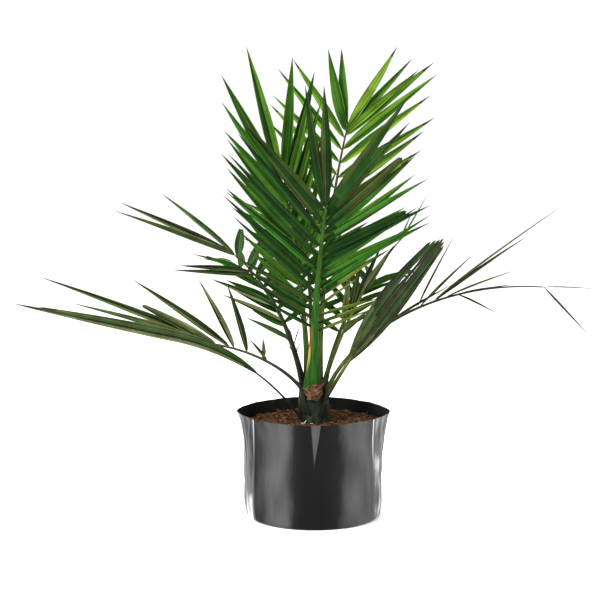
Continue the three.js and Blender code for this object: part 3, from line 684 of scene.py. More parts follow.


# The fronds at the back take mostly the darkest tints of their kind: painted shade, for they stand behind the
# others.
BACK = dict(deal=(1, 3, 0, 1), split=True)
LEAVES = {
    "frond_front": Leaf((-2.5, -13, 199), -70, 84, 15, LATE, 284, (9, 2.2), "deep", [
        Row(RIGHT, 4, (0.32, 0.46), (105, 150), (60, 60), (-6, -4), (6.5, 9)),
        Row(RIGHT, 8, (0.51, 0.96), (178, 203), (48, 42), (-4, 0), (12, 16),
            tints=(1, 0, 1, 2, 0, 1, 0, 3), full=0.9),
        Row(LEFT, 3, (0.3, 0.385), (92, 112), (67, 70), (4, 4), (5, 6), tints=(4,)),
        Row(LEFT, 2, (0.43, 0.48), (85, 110), (50, 52), (2, 2), (5, 7), tints=(4,)),
        Row(LEFT, 5, (0.53, 0.74), (192, 182), (56, 61), (2, 2), (11, 14), (4,), (2, 2, 2, 0, 1, 1)),
        Row(LEFT, 5, (0.79, 0.97), (180, 195), (54, 26), (0, 0), (14, 18), (2,), (3, 2, 3, 3, 0, 3)),
        Row(RIGHT, 2, (0.98, 0.985), (192, 186), (14, 8), (0, 0), (18, 18), tints=(3, 1)),
    # The leaflets' roots take tints 1, 1, 0, 0 row by row: painted shade near the rachis.
    ], (0, 1, 2, 0, 3, 1), (1, 1, 0, 0), "bright", roll=12, sunk=13),
    "frond_back_right": Leaf((7.5, 14, 198), 69, 84, 30, LATE, 410, (5.2, 1.4), "fresh", [
        Row(RIGHT, 11, (0.36, 0.96), (110, 200), (58, 38), (-4, -4), (10, 16)),
        Row(LEFT, 11, (0.42, 0.95), (75, 190), (72, 41), (-4, -4), (10, 13)),
        Row(LEFT, 2, (0.98, 0.985), (170, 158), (23, 16), (0, 0), (15, 15), tints=(0, 1), full=1.25),
        lone(RIGHT, 0.985, 165, 17, 0, 15),
        Row(RIGHT, 2, (0.97, 0.98), (175, 168), (34, 28), (-4, -4), (13, 13)),
    ], (0, 2, 1, 0, 4, 2), roll=-10),
    "frond_back_left": Leaf((-7.5, 14, 198), 137, 86, 15, LATE, 318, (5.2, 1.4), "fresh", [
        Row(RIGHT, 10, (0.38, 0.9), (85, 178), (46, 22), (4, 4), (10, 15)),
        Row(LEFT, 11, (0.36, 0.92), (85, 160), (48, 25), (4, 4), (10, 15)),
        lone(LEFT, 0.985, 222, 0, 0, 15, full=1.25),
        lone(RIGHT, 0.985, 200, 20, 0, 15, full=1.25),
        lone(LEFT, 0.95, 208, 16, 0, 15, full=1.25),
        lone(RIGHT, 0.95, 190, 29, 4, 15, full=1.25),
    ], (0, 0, 1, 3), roll=40),
    "frond_left": Leaf((-15, 3, 198), 160, 77, 41, LATE, 232, (6.5, 1.4), "olive", [
        Row(LEFT, 3, (0.31, 0.55), (85, 110), (46, 42), (-40, -50), (9, 11)),
        Row(LEFT, 2, (0.79, 0.82), (125, 112), (50, 42), (-50, -60), (10, 10), tints=(1,)),
        Row(LEFT, 2, (0.97, 0.98), (185, 185), (28, 20), (-24, -27), (12, 12)),
        lone(LEFT, 0.985, 138, 9, 32, 10),
        Row(RIGHT, 4, (0.6, 0.87), (105, 88), (67, 73), (30, 37), (12, 13), (3,), (2,)),
        lone(RIGHT, 0.96, 68, 54, 40, 15, blunt=(0,), tints=(2,)),
    # Its stalk takes the near-black finish: painted shade, for it stands in shade behind the front frond.
    ], (0, 1, 3, 2), finish="dark", turn=0.8),
    "frond_low_left": Leaf((-16, -8, 193), -163, 58, 48, EARLY, 171, (5, 2.5), "olive", [
        Row(LEFT, 2, (0.47, 0.63), (45, 115), (60, 52), (50, 80), (7, 11)),
        Row(RIGHT, 2, (0.43, 0.75), (46, 120), (35, 49), (47, 85), (6, 11)),
        Row(RIGHT, 2, (0.79, 0.92), (184, 150), (28, 21), (48, 48), (12, 13), (1,)),
        Row(RIGHT, 2, (0.95, 0.98), (288, 222), (19.5, 14.5), (41, 41), (13, 12)),
    ], (0, 1, 3, 2), finish="grey", turn=0.8),
    "frond_right": Leaf((14.5, 7, 197), 26, 69, 27, LATE, 268, (4, 1.3), "olive", [
        Row(LEFT, 3, (0.33, 0.48), (110, 112), (23, 19), (28, -9), (11, 11)),
        lone(LEFT, 0.96, 50, 20, 47, 3),
        Row(RIGHT, 2, (0.31, 0.56), (68, 95), (32, 14), (-22, 16), (9, 11)),
        lone(RIGHT, 0.985, 75, 14, 82, 3),
    ], turn=0.6),
    "frond_low_right": Leaf((18, 0, 184), 3, 77, 82, EARLY, 400, (5.2, 1.4), "olive", [
        Row(LEFT, 2, (0.37, 0.49), (126, 145), (29, 41), (-7, 56), (7, 5)),
        lone(LEFT, 0.55, 248, 20, 57, 6),
        lone(LEFT, 0.6, 112, 5, 70, 6),
        lone(LEFT, 0.65, 106, 27, -15, 5),
        lone(LEFT, 0.985, 80, 4, 60, 3),
        Row(RIGHT, 2, (0.5, 0.56), (115, 165), (31, 20), (60, 62), (5, 6)),
        lone(RIGHT, 0.65, 73, 54, -30, 6),
        lone(RIGHT, 0.98, 105, 46, -76, 4),
    ], (1, 1, 0), finish="low", turn=0.5, split=True),
    "frond_back": Leaf((0, 20, 186), 94, 72, 60, LATE, 330, (4.6, 1.4), "fresh",
                       back_rows(9, 0.36, (85, 140), (85, 140), 125, 66, 14), **BACK),
    "frond_back_low_left": Leaf((-13, 17, 182), 122, 66, 62, LATE, 285, (4.4, 1.3), "fresh",
                                back_rows(7, 0.4, (70, 110), (60, 95), 95, 64, 13), **BACK),
    "frond_back_low_right": Leaf((14, 17, 182), 62, 64, 64, LATE, 265, (4.4, 1.3), "fresh",
                                 back_rows(7, 0.4, (55, 85), (70, 110), 90, 64, 13), **BACK),
    "strap_leaf": Leaf((-18, -19, 151), -162, 55, 41, EVEN, 486, (2.8, 1.2), "olive", finish="dark",
                       turn=0.8, settle=0.5, sunk=4, split=True, start=0.2, width=20, skew=0.75),
    "broad_leaf": Leaf((17, -11, 178), -16, 62, 12, EARLY, 308, (4.8, 1.4), "deep", finish="broad",
                       turn=0.9, start=0.22, width=44, skew=0.95),
}


def nodes_of(name):
    """The CAD nodes of a leaf: those that arch round a gap have their stalk as a node of its own."""
    return [name, f"{name}_stalk"] if LEAVES[name].split else [name]


print("leaflets:", sum(row.count for leaf in LEAVES.values() for row in leaf.rows))

# %% Rachis path
RACHIS_STEPS = 96
UP = np.array([0.0, 0.0, 1.0])


def rachis_frame(leaf, t):
    """Point, direction, right-hand side and upper face at shares t of a rachis. Its slope is rise minus arch
    times t to the power of bend, until t reaches settle; its points are the running sum of short steps."""
    heading, roll = np.radians([leaf.heading, leaf.roll])
    level = np.array([np.cos(heading), np.sin(heading), 0.0])
    level_side = np.array([np.sin(heading), -np.cos(heading), 0.0])

    def direction(share):
        bent = np.minimum(share / leaf.settle, 1) ** leaf.bend
        slope = np.radians(leaf.rise - leaf.arch * bent)[..., None]
        return np.cos(slope) * level + np.sin(slope) * UP

    middle = (np.arange(RACHIS_STEPS) + 0.5) / RACHIS_STEPS
    steps = direction(middle) * leaf.length / RACHIS_STEPS
    path = np.cumsum([leaf.foot, *steps], axis=0)
    knots = np.linspace(0, 1, RACHIS_STEPS + 1)
    point = np.stack([np.interp(t, knots, path[:, axis]) for axis in range(3)], axis=-1)
    along = direction(t)
    side = np.cos(roll) * level_side + np.sin(roll) * np.cross(level_side, along)
    return point, along, side, np.cross(side, along)


print("front frond's tip:", np.round(rachis_frame(LEAVES["frond_front"], np.ones(1))[0]))

# %% [markdown]
# ## Leaf finishes
# A palm leaf is satin, with fine veins along it and a paler keel. Where a colour has a place, such as a keel
# or a dry tip, it is a finish of its own on those faces, because a pattern over many small blades could end
# up anywhere. The halves of a leaflet take two tints of their frond, a painted contrast for the lit and the
# shaded side of its fold, and the front frond's leaflets take darker tints at their roots, painted shade near
# the rachis.

# %% Leaf finish function
LEAF_ROUGHNESS, LEAF_SPECULAR, LEAF_RELIEF = 0.5, 0.025, 0.5
MOTTLES_A_METRE, STREAKS_A_MM, STREAK_SHARE = 30.0, 0.45, 0.65
DARK_AT, LIGHT_AT = 0.38, 0.62
LEAF_TINTS = {
    "deep": ["183110", "10240b", "234a13", "283214", "42511a"],
    "fresh": ["2b4a12", "16370a", "456418", "112909", "56701c"],
    "olive": ["393f24", "1b1f14", "21351b", "4d5136", "565842"],
}
LEAF_CONTRAST = {"deep": 0.55, "fresh": 0.5, "olive": 0.75}


def leaf_finish(name, colour, contrast=0.5):
    """Satin leaf: one colour, from darker to lighter in soft mottles and in streaks along the blade, which
    are noise over the place across it."""
    material, tree = blank(name, LEAF_ROUGHNESS, LEAF_SPECULAR)
    mottle = noise(tree, object_place(tree), MOTTLES_A_METRE)
    inputs = [("W", read_value(tree, "across")), ("Scale", STREAKS_A_MM), ("Detail", 2.0)]
    streak = node(tree, "ShaderNodeTexNoise", inputs, noise_dimensions="1D").outputs[0]
    fine = math(tree, "MULTIPLY", streak, STREAK_SHARE)
    tone = math(tree, "ADD", math(tree, "MULTIPLY", mottle, 1 - STREAK_SHARE), fine)
    stops = [(DARK_AT, colour, 1 - contrast), (LIGHT_AT, colour, 1 + contrast)]
    return complete(material, ramp(tree, tone, stops), streak, LEAF_RELIEF)


leaf_finishes = {
    kind: [leaf_finish(f"leaf_{kind}_{i}", tint, LEAF_CONTRAST[kind]) for i, tint in enumerate(tints)]
    for kind, tints in LEAF_TINTS.items()
}
keel_finish = leaf_finish("leaf_keel", "344a1c")
tip_finish = leaf_finish("leaf_dry_tip", "24241a")
edge_finish = leaf_finish("leaf_pale_edge", "3c4d1c")
print("leaf finishes:", sum(len(group) for group in leaf_finishes.values()) + 3)

# %% [markdown]
# ## Leaflets
# A leaflet is a stiff blade folded along its keel. Each one is a closed grid: rows from root to tip, and
# round each row the two halves of the upper face, a narrow strip along the keel, and the keel underneath.
# All leaflets of a frond are worked out together, one array for each trait.

# %% Leaflet rule
SEEDS_A_ROW, SEEDS_A_FROND = 40, 1000
LENGTH_TRAIT, SPLAY_TRAIT, LIFT_TRAIT = 0.0, 0.31, 0.57
BOW_TRAIT, TURN_TRAIT, TWIST_TRAIT = 0.71, 0.77, 0.83
TINT_TRAIT, EDGE_TRAIT, TIP_TRAIT = 0.91, 0.97, 0.45
LENGTH_VARIES, ANGLE_VARIES, FULL_ROW = 0.07, 5.0, 12
BLIND_TILT = np.radians(14)
LIGHT_WAY = np.array([0.0, -0.85, 0.53])
WIDEST_AT, ROOT_WIDTH, TAPER_POWER = 0.34, 0.3, 1.5
FOLD, SAG, CURL = 0.6, 0.03, 0.03
BOW, OWN_TURN, TWIST = 0.025, np.radians(16), np.radians(20)
BLADE_THICK, LEAST_HALF, BLUNT_END = 0.5, 0.12, 0.8
STREAK_STEP = 61.0
KEEL_SHARE, EDGE_SHARE = 0.07, 0.16
TOP_PLACES = np.array([-1, EDGE_SHARE - 1, -KEEL_SHARE, KEEL_SHARE, 1 - EDGE_SHARE, 1])
RING_CELLS = len(TOP_PLACES) + 1
STATIONS = np.array([0, 0.05, 0.13, 0.23, 0.35, 0.48, 0.61, 0.74, 0.87, 0.975, 1])


def leaflets_of(leaf, seed):
    """All leaflets of a frond, one array for each trait, row after row."""
    rows = []
    for number, row in enumerate(leaf.rows):
        order = np.arange(row.count)
        share = order / max(row.count - 1, 1)
        own = seed + SEEDS_A_ROW * number + order
        stray = ANGLE_VARIES * np.sqrt(row.count / FULL_ROW)
        tints = np.array(row.tints)
        rows.append(dict(
            seed=own,
            t=between(row.along, share),
            side=np.full(row.count, row.side),
            length=between(row.length, np.sqrt(share)) * (1 + LENGTH_VARIES * vary(own, LENGTH_TRAIT)),
            splay=np.radians(between(row.splay, share) + stray * vary(own, SPLAY_TRAIT)),
            lift=np.radians(between(row.lift, share) + stray * vary(own, LIFT_TRAIT)),
            width=between(row.width, np.sqrt(share)) * row.full,
            end=np.where(np.isin(order, row.blunt), BLUNT_END, 1.0),
            left=tints[order % len(tints)],
            right=tints[(order + 1) % len(tints)],
        ))
    return SimpleNamespace(**{trait: np.concatenate([row[trait] for row in rows]) for trait in rows[0]})


def facing(along, face, turn):
    """A blade's upper face: the frond's own, turned towards the light by a share, square to the blade."""
    look = face + (LIGHT_WAY - face) * turn
    return unit(look - along * np.sum(look * along, axis=-1, keepdims=True))


def leaflet_width(u):
    """A leaflet's share of its full width: a quick swell from the root, then a taper with a power."""
    grown = np.clip(u / WIDEST_AT, 0, 1)
    taper = 1 - np.clip((u - WIDEST_AT) / (1 - WIDEST_AT), 0, 1) ** TAPER_POWER
    return (ROOT_WIDTH + (1 - ROOT_WIDTH) * grown * (2 - grown)) * taper


def blade_grid(middle, half, across, normal):
    """Rings across the middle lines of blades: the folded upper face from edge to edge, then the keel
    underneath, with both ends drawn to a point. Also each point's place across the blade."""
    half = np.maximum(half, LEAST_HALF)[..., None]
    thick = np.minimum(BLADE_THICK, half)
    offset = np.concatenate([half * TOP_PLACES, 0 * half], axis=-1)
    rise = np.abs(np.append(TOP_PLACES, 0)) * FOLD * half
    rise = rise + thick * np.append(np.abs(TOP_PLACES) < 1, -1) / 2
    grid = middle[:, :, None] + offset[..., None] * across[:, :, None] + rise[..., None] * normal[:, :, None]
    grid[:, [0, -1]] = grid[:, [0, -1]].mean(axis=2, keepdims=True)
    return grid, offset


def leaflet_grid(leaf, traits):
    """The blades of a frond as (leaflets, rows, ring, 3): a middle line that leaves the rachis splayed and
    lifted, curls along it and sags, with a folded ring across it that twists a little towards the tip."""
    point, direction, side, face = rachis_frame(leaf, traits.t)
    splay, lift, hand = traits.splay[:, None], traits.lift[:, None], traits.side[:, None]
    out = hand * np.cos(lift) * side + np.sin(lift) * face
    along = np.cos(splay) * direction + np.sin(splay) * out
    normal = facing(along, face, leaf.turn)
    tilt = hand * BLIND_TILT * (1 - leaf.turn)
    normal = np.cos(tilt) * normal + np.sin(tilt) * np.cross(along, normal)
    across = np.cross(along, normal)[:, None]
    normal, along, direction = normal[:, None], along[:, None], direction[:, None]
    u = STATIONS[:, None] * traits.end[:, None, None]
    length = traits.length[:, None, None]
    bow, turn, twist = [
        most * vary(traits.seed, trait)[:, None, None]
        for most, trait in ((BOW, BOW_TRAIT), (OWN_TURN, TURN_TRAIT), (TWIST, TWIST_TRAIT))
    ]
    twist = turn + twist * u
    middle = point[:, None] + length * (u * along + u**2 * (CURL * direction - SAG * UP + bow * across))
    half = traits.width[:, None] * leaflet_width(u[..., 0]) / 2
    turned_across = np.cos(twist) * across + np.sin(twist) * normal
    grid, offset = blade_grid(middle, half, turned_across, np.cos(twist) * normal - np.sin(twist) * across)
    grid[:, -1] = middle[:, -1:]
    return grid, offset + STREAK_STEP * np.arange(len(grid))[:, None, None]


print("a leaflet has", (len(STATIONS) - 1) * RING_CELLS, "faces")

# %% Leaflet pieces
KEEL_KIND, TIP_KIND, EDGE_KIND = len(LEAF_TINTS["deep"]) + np.arange(3)
KEEL_COLUMN, EDGE_COLUMNS, RIGHT_COLUMNS = 2, (0, 4), slice(3, 6)
ROOT_REACHES, DARKEST, TIP_ROWS = 4, 1, 2
PALE_EDGED, DRY_TIPPED = -0.1, -0.2
DULL_EDGED, LEAF_CRISP = "frond_low_right", 12


def leaflet_kinds(leaf, traits):
    """A finish for each cell: a tint of the deal or the row for each leaflet and the next one for its right
    half, a painted contrast for the lit and the shaded side of the fold, darker tints for one or more rows of
    its root, painted shade near the rachis, a paler keel strip, pale edges on many, and a dry tip."""
    deal = np.array(leaf.deal)
    pick = np.floor((vary(traits.seed, TINT_TRAIT) + 1) / 2 * len(deal)).astype(int)
    left = np.where(traits.left == BY_CHANCE, deal[pick], traits.left)
    right = np.where(traits.right == BY_CHANCE, deal[(pick + 1) % len(deal)], traits.right)
    kinds = np.tile(left[:, None, None], (len(STATIONS) - 1, RING_CELLS))
    # The right half's tint differs from the left's: painted contrast for the lit and the shaded side of the
    # fold.
    kinds[:, :, RIGHT_COLUMNS] = right[:, None, None]
    reach = np.tile(pick[:, None], RING_CELLS)
    reach[:, RIGHT_COLUMNS] += 1
    # Darker tints on the first rows of the root: painted shade near the rachis.
    for place, tint in enumerate(leaf.roots):
        kept = (kinds[:, place] == DARKEST) | (reach % ROOT_REACHES + 1 <= place)
        kinds[:, place] = np.where(kept, kinds[:, place], tint)
    kinds[:, :, KEEL_COLUMN] = KEEL_KIND
    pale = vary(traits.seed, EDGE_TRAIT) > PALE_EDGED
    for column in EDGE_COLUMNS:
        kinds[pale, :, column] = EDGE_KIND
    kinds[:, -1] = TIP_KIND
    dry = (traits.end == 1) & (vary(traits.seed, TIP_TRAIT) > DRY_TIPPED)
    kinds[dry, -TIP_ROWS:] = TIP_KIND
    return kinds


def green_piece(name, part, grid, kind, edge, kinds, across):
    """A piece of leaf blades: tints of a kind, then the keel's, the tip's and the edge's finish."""
    finishes = [*leaf_finishes[kind], keel_finish, tip_finish, edge]
    slot = f"leaf_{LEAVES[name].kind}"
    nodes = nodes_of(name)
    piece(f"{name}_{part}", grid, finishes, slot, nodes, kinds=kinds, across=across, crisp=LEAF_CRISP)


for order, (name, leaf) in enumerate(LEAVES.items()):
    if leaf.rows:
        traits = leaflets_of(leaf, SEEDS_A_FROND * order)
        grid, offset = leaflet_grid(leaf, traits)
        edge = tip_finish if name == DULL_EDGED else edge_finish
        green_piece(name, "leaflets", grid, leaf.kind, edge, leaflet_kinds(leaf, traits), offset)

# %% [markdown]
# ## Stalks
# A stalk is grooved above and round below. At its foot it widens into a sheath that clasps the stem, which
# is what the stem of a young palm is made of. Rachis, stalk and sheath are one closed grid: a ring carried
# down the rachis and on along the stem, where it spreads and bends round it.

# %% Stem radius
STEM_FOOT, STEM_TOP, STEM_RADIUS, STEM_NARROWS = 140.3, 203.0, 25.0, 0.5


def stem_radius(height):
    """The stem's radius: full at the foot, less by half at the top, with the fourth power of height."""
    share = np.clip((height - STEM_FOOT) / (STEM_TOP - STEM_FOOT), 0, 1)
    return STEM_RADIUS * (1 - STEM_NARROWS * share**4)


print("stem radius half way:", round(float(stem_radius((STEM_FOOT + STEM_TOP) / 2)), 1))

# %% Stalk shape
STALK_SIDES, STALK_ROWS, SHEATH_ROWS = 14, 46, 12
STALK_TAPER, STALK_CROWDING = 1.3, 1.4
STALK_FLAT, GROOVE, FLARE, FLARE_SHARE = 0.75, 0.55, 0.5, 0.16
SHEATH_DROP, SHEATH_LOWEST, KNEE_SHARE = 40.0, STEM_FOOT - 3, 0.45
SHEATH_WIDE, SHEATH_THICK, SHEATH_WRAP = 19.0, 2.0, 14.0


def stalk_radius(leaf, t):
    """A stalk's radius at a share t of its length: from its tip's to its foot's, with a power of 1 - t."""
    return between(leaf.stalk[::-1], (1 - t) ** STALK_TAPER)


def stalk_grid(leaf):
    """Rings of a leaf's sheath, stalk and rachis. Down to the foot the middle line is the rachis; below it,
    it is a quadratic curve onto the stem. Rings widen there and wrap round the stem's radius."""
    t = np.linspace(0, 1, STALK_ROWS) ** STALK_CROWDING
    point, _, side, face = rachis_frame(leaf, t)
    wide = stalk_radius(leaf, t) * (1 + FLARE * np.clip(1 - t / FLARE_SHARE, 0, 1))
    deep = stalk_radius(leaf, t) * STALK_FLAT
    foot = np.array(leaf.foot)
    out = unit(foot * (1, 1, 0))
    low = max(foot[2] - SHEATH_DROP, SHEATH_LOWEST)
    heights = (low, between((foot[2], low), KNEE_SHARE))
    base, knee = [out * (stem_radius(height) - leaf.sunk) + UP * height for height in heights]
    q = np.linspace(0, 1, SHEATH_ROWS, endpoint=False)[:, None]
    sheath = (1 - q) ** 2 * base + 2 * q * (1 - q) * knee + q**2 * foot
    sheath_way = unit((1 - q) * (knee - base) + q * (foot - knee))
    sheath_side = unit(between((np.cross(out, UP), side[0]), q))
    sheath_face = unit(np.cross(sheath_side, sheath_way))
    point = np.concatenate([sheath, point])[:, None]
    side = np.concatenate([sheath_side, side])[:, None]
    face = np.concatenate([sheath_face, face])[:, None]
    wide = np.concatenate([between((SHEATH_WIDE, wide[0]), q[:, 0]), wide])[:, None]
    deep = np.concatenate([between((SHEATH_THICK, deep[0]), q[:, 0]), deep])[:, None]
    clasp = np.concatenate([1 - q, np.zeros((STALK_ROWS, 1))])
    turn = ring(STALK_SIDES)
    across = wide * np.cos(turn)
    upper = np.sin(turn) * (GROOVE + (1 - GROOVE) * np.abs(np.cos(turn)))
    through = deep * np.where(np.sin(turn) > 0, upper, np.sin(turn))
    through = through + clasp * across**2 / (2 * SHEATH_WRAP)
    grid = point + across[..., None] * side + through[..., None] * face
    grid[[0, -1]] = point[[0, -1]]
    return grid


print("stalk rings:", STALK_ROWS + SHEATH_ROWS)

# %% Stalk finishes and pieces
STALK_HEIGHTS = (0.14, 0.64)
STALK_ROUGHNESS, STALK_SPECULAR, STALK_RELIEF = 0.45, 0.06, 0.25
STALK_BLOTS, STALK_DRAWN = 260.0, (1, 1, 0.12)
STALK_STREAKS = [(0.35, "ffffff", 0.6), (0.65, "ffffff", 1.4)]
STALK_STOPS = {
    "bright": [(0.19, "182612"), (0.21, "183e0a"), (0.3, "1d400c"), (0.42, "21370e"), (0.5, "283c11")],
    "margin": [(0.205, "183e0a"), (0.225, "2c4410"), (0.238, "75673a"), (0.257, "7c6c38"),
               (0.264, "6a3013"), (0.284, "5c2a10"),
               (0.294, "1d400c"), (0.42, "21370e"), (0.5, "283c11")],
    # Near-black: painted shade on the left frond's stalk; the strap leaf's stalk, the thorns and the hairs
    # take it too.
    "dark": [(0.16, "121410"), (0.2, "161911"), (0.26, "191c13"), (0.36, "262a18")],
    "olive": [(0.17, "161a12"), (0.205, "30361a"), (0.3, "454b20"), (0.4, "34391c")],
    "broad": [(0.17, "161a12"), (0.205, "30361a"), (0.232, "454b20"), (0.258, "222a16")],
    "low": [(0.17, "161a12"), (0.205, "30361a"), (0.25, "3a401e"), (0.3, "262a18"), (0.34, "1c1f16")],
    "grey": [(0.17, "161911"), (0.2, "1c2016"), (0.24, "2d3122"), (0.3, "363a2c")],
    "fresh": [(0.18, "161a12"), (0.24, "2c3916"), (0.4, "303c17"), (0.55, "342f1b")],
}
MARGINED, MARGIN_COLUMNS = "frond_front", [-2, -1]


def stalk_finish(name, stops):
    """Waxy stalk: a colour by height above the ground, in metres, with long fine streaks over it."""
    material, tree = blank(name, STALK_ROUGHNESS, STALK_SPECULAR)
    low, high = STALK_HEIGHTS
    height = node(tree, "ShaderNodeSeparateXYZ", [("Vector", object_place(tree))]).outputs["Z"]
    grown = node(tree, "ShaderNodeMapRange", [("Value", height), ("From Min", low), ("From Max", high)])
    stops = [((metres - low) / (high - low), colour) for metres, colour in stops]
    green = ramp(tree, grown.outputs["Result"], stops)
    streak = noise(tree, object_place(tree, STALK_DRAWN), STALK_BLOTS)
    inputs = [("Fac", 1.0), ("Color1", green), ("Color2", ramp(tree, streak, STALK_STREAKS))]
    mixed = node(tree, "ShaderNodeMixRGB", inputs, blend_type="MULTIPLY")
    return complete(material, mixed.outputs["Color"], streak, STALK_RELIEF)


stalk_finishes = {key: stalk_finish(f"stalk_{key}", stops) for key, stops in STALK_STOPS.items()}
for name, leaf in LEAVES.items():
    finishes = [stalk_finishes[leaf.finish or leaf.kind], stalk_finishes["margin"]]
    kinds = np.zeros((STALK_ROWS + SHEATH_ROWS - 1, STALK_SIDES), int)
    if name == MARGINED:
        kinds[:, MARGIN_COLUMNS] = 1
    piece(f"{name}_stem", stalk_grid(leaf), finishes, f"leaf_{leaf.kind}", nodes_of(name), kinds=kinds)

# %% [markdown]
# ## The two undivided leaves
# A seedling's first leaves are whole: one is a long strap, one a broad pleated blade whose pleats have begun
# to part. Both are strips side by side along the outer part of a rachis, so that slits can open between them
# and each can end at its own length.

# %% Whole blades
LANCE_FULLNESS, BLADE_ROWS, TORN_FROM = 0.8, 40, 0.5


def lance(u, skew):
    """A lance shape: the sine of pi times u to the power of skew, itself to a power."""
    return np.sin(np.pi * u**skew).clip(0, 1) ** LANCE_FULLNESS


def strip_grid(leaf, left, right, ends, torn):
    """Strips of a blade, each folded along its own keel, between its left and right shares of the blade's
    width and from the blade's start to the strip's own end. A torn blade stays wider towards its tip."""
    u = np.linspace(0, 1, BLADE_ROWS) * np.array(ends)[:, None]
    point, direction, _, face = rachis_frame(leaf, between((leaf.start, 1), u))
    normal = facing(direction, face, leaf.turn)
    across = np.cross(direction, normal)
    open_share = torn * np.clip((u - TORN_FROM) / (1 - TORN_FROM), 0, 1)
    reach = leaf.width / 2 * between((lance(u, leaf.skew), 1), open_share)
    middle = (reach * (left + right) / 2)[..., None]
    grid, offset = blade_grid(point + middle * across, reach * (right - left) / 2, across, normal)
    return grid, middle + offset


def strip_kinds(tints, roots, root_kind, lag):
    """A finish for each cell of strips: a tint for each, another for the rows of its root, of which there
    are fewer by a lag on the right of its keel, and the first tint for the keel."""
    tints, roots = np.array([tints, roots])[..., None, None]
    fewer = lag * (np.arange(RING_CELLS) > KEEL_COLUMN)
    kinds = np.where(np.arange(BLADE_ROWS - 1)[:, None] < roots - fewer, root_kind, tints)
    kinds[:, :, KEEL_COLUMN] = 0
    return kinds


print("rows along a whole blade:", BLADE_ROWS)

# %% Strap leaf
STRAP_LINES, STRAP_LAP = np.array([-1, -0.5, -0.05, 0.45, 1])[:, None], 0.05
STRAP_ENDS, STRAP_TINTS, STRAP_FRESH_ROWS = (0.97, 1.0, 0.99, 0.9), (3, 1, 2, 0), (6, 13, 9, 10)
STRAP_LAG, STRAP_TIP_ROWS = 3, 3

strap_left, strap_right = STRAP_LINES[:-1] - STRAP_LAP, STRAP_LINES[1:] + STRAP_LAP
strap_grid, strap_offset = strip_grid(LEAVES["strap_leaf"], strap_left, strap_right, STRAP_ENDS, 0)
strap_kinds = strip_kinds(STRAP_TINTS, STRAP_FRESH_ROWS, EDGE_KIND, STRAP_LAG)
strap_kinds[:, -STRAP_TIP_ROWS:] = TIP_KIND
green_piece("strap_leaf", "blade", strap_grid, "olive", leaf_finishes["fresh"][1], strap_kinds, strap_offset)

# %% Broad leaf
PLEAT_ENDS = (0.93, 0.96, 0.98, 1.0, 0.99, 0.97)
PLEAT_TINTS = (1, EDGE_KIND, 1, 1, EDGE_KIND, 1)
PLEAT_OLIVE_ROWS, PLEAT_LAG, BROAD_TORN = (18, 9, 14, 6, 12, 3), 2, 0.45
SLITS, SLIT_OPENS, SLIT_CLOSES = np.array([0, -0.02, 0.05, 0.06, -0.02, -0.02, 0]), (0.62, 0.68), (0.76, 0.84)

broad_green = leaf_finish("leaf_broad_green", "1f2d1a")
pleat_lines = np.linspace(-1, 1, len(SLITS))[:, None]
pleat_u = np.linspace(0, 1, BLADE_ROWS)
slit = SLITS[:, None] * ease(*SLIT_OPENS, pleat_u) * (1 - ease(*SLIT_CLOSES, pleat_u))
pleat_left, pleat_right = (pleat_lines + slit)[:-1], (pleat_lines - slit)[1:]
broad_grid, broad_offset = strip_grid(LEAVES["broad_leaf"], pleat_left, pleat_right, PLEAT_ENDS, BROAD_TORN)
broad_kinds = strip_kinds(PLEAT_TINTS, PLEAT_OLIVE_ROWS, 0, PLEAT_LAG)
green_piece("broad_leaf", "blade", broad_grid, "olive", broad_green, broad_kinds, broad_offset)

# %% [markdown]
# ## The stem's foot
# The stem is wrapped in old leaf bases: each covers the stem below a margin that peaks under its leaf and
# falls away to both sides. A radius for each angle and height holds that: the turned stem, plus a step for
# every base that covers the place, plus fine ribs along it.

# %% Stem finish and mesh
STEM_STOPS = [(0.3, "12160f"), (0.55, "1e231a"), (0.75, "2f3424")]
STEM_ROWS, STEM_COLUMNS, STEM_SUNK, STEM_CROWN = 90, 220, 5.0, 1.0
BASE_STEP, BASE_EDGE, USUAL_BASES = 0.7, 1.2, 7.5
MARGIN_DROP, MARGIN_FALL, MARGIN_TURN, MARGIN_POWER = 2, 26.0, 1.5, 1.3
RIBS, RIB_HIGH, RIB_SWAY, RIB_WAVE = 64, 0.22, 3, 9
STEM_UNEVEN, STEM_REACH, STEM_DRAWN = 0.5, 20, 0.4


def stem_relief(theta, height):
    """Steps of the leaf bases and ribs: for each leaf, a step where the height is under its margin, which
    falls from its foot with the angle away from it."""
    flat = joined(STEM_REACH * np.cos(theta), STEM_REACH * np.sin(theta), STEM_DRAWN * height)
    relief = STEM_UNEVEN * swell(flat, 9, 31) - USUAL_BASES * BASE_STEP
    relief = relief + RIB_HIGH * np.sin(theta * RIBS + RIB_SWAY * np.sin(height / RIB_WAVE))
    for leaf in LEAVES.values():
        x, y, top = leaf.foot
        away = np.abs((theta - np.arctan2(y, x) + np.pi) % (2 * np.pi) - np.pi)
        margin = top - MARGIN_DROP - MARGIN_FALL * (away / MARGIN_TURN) ** MARGIN_POWER
        relief = relief + BASE_STEP * ease(-BASE_EDGE, BASE_EDGE, margin - height)
    return relief


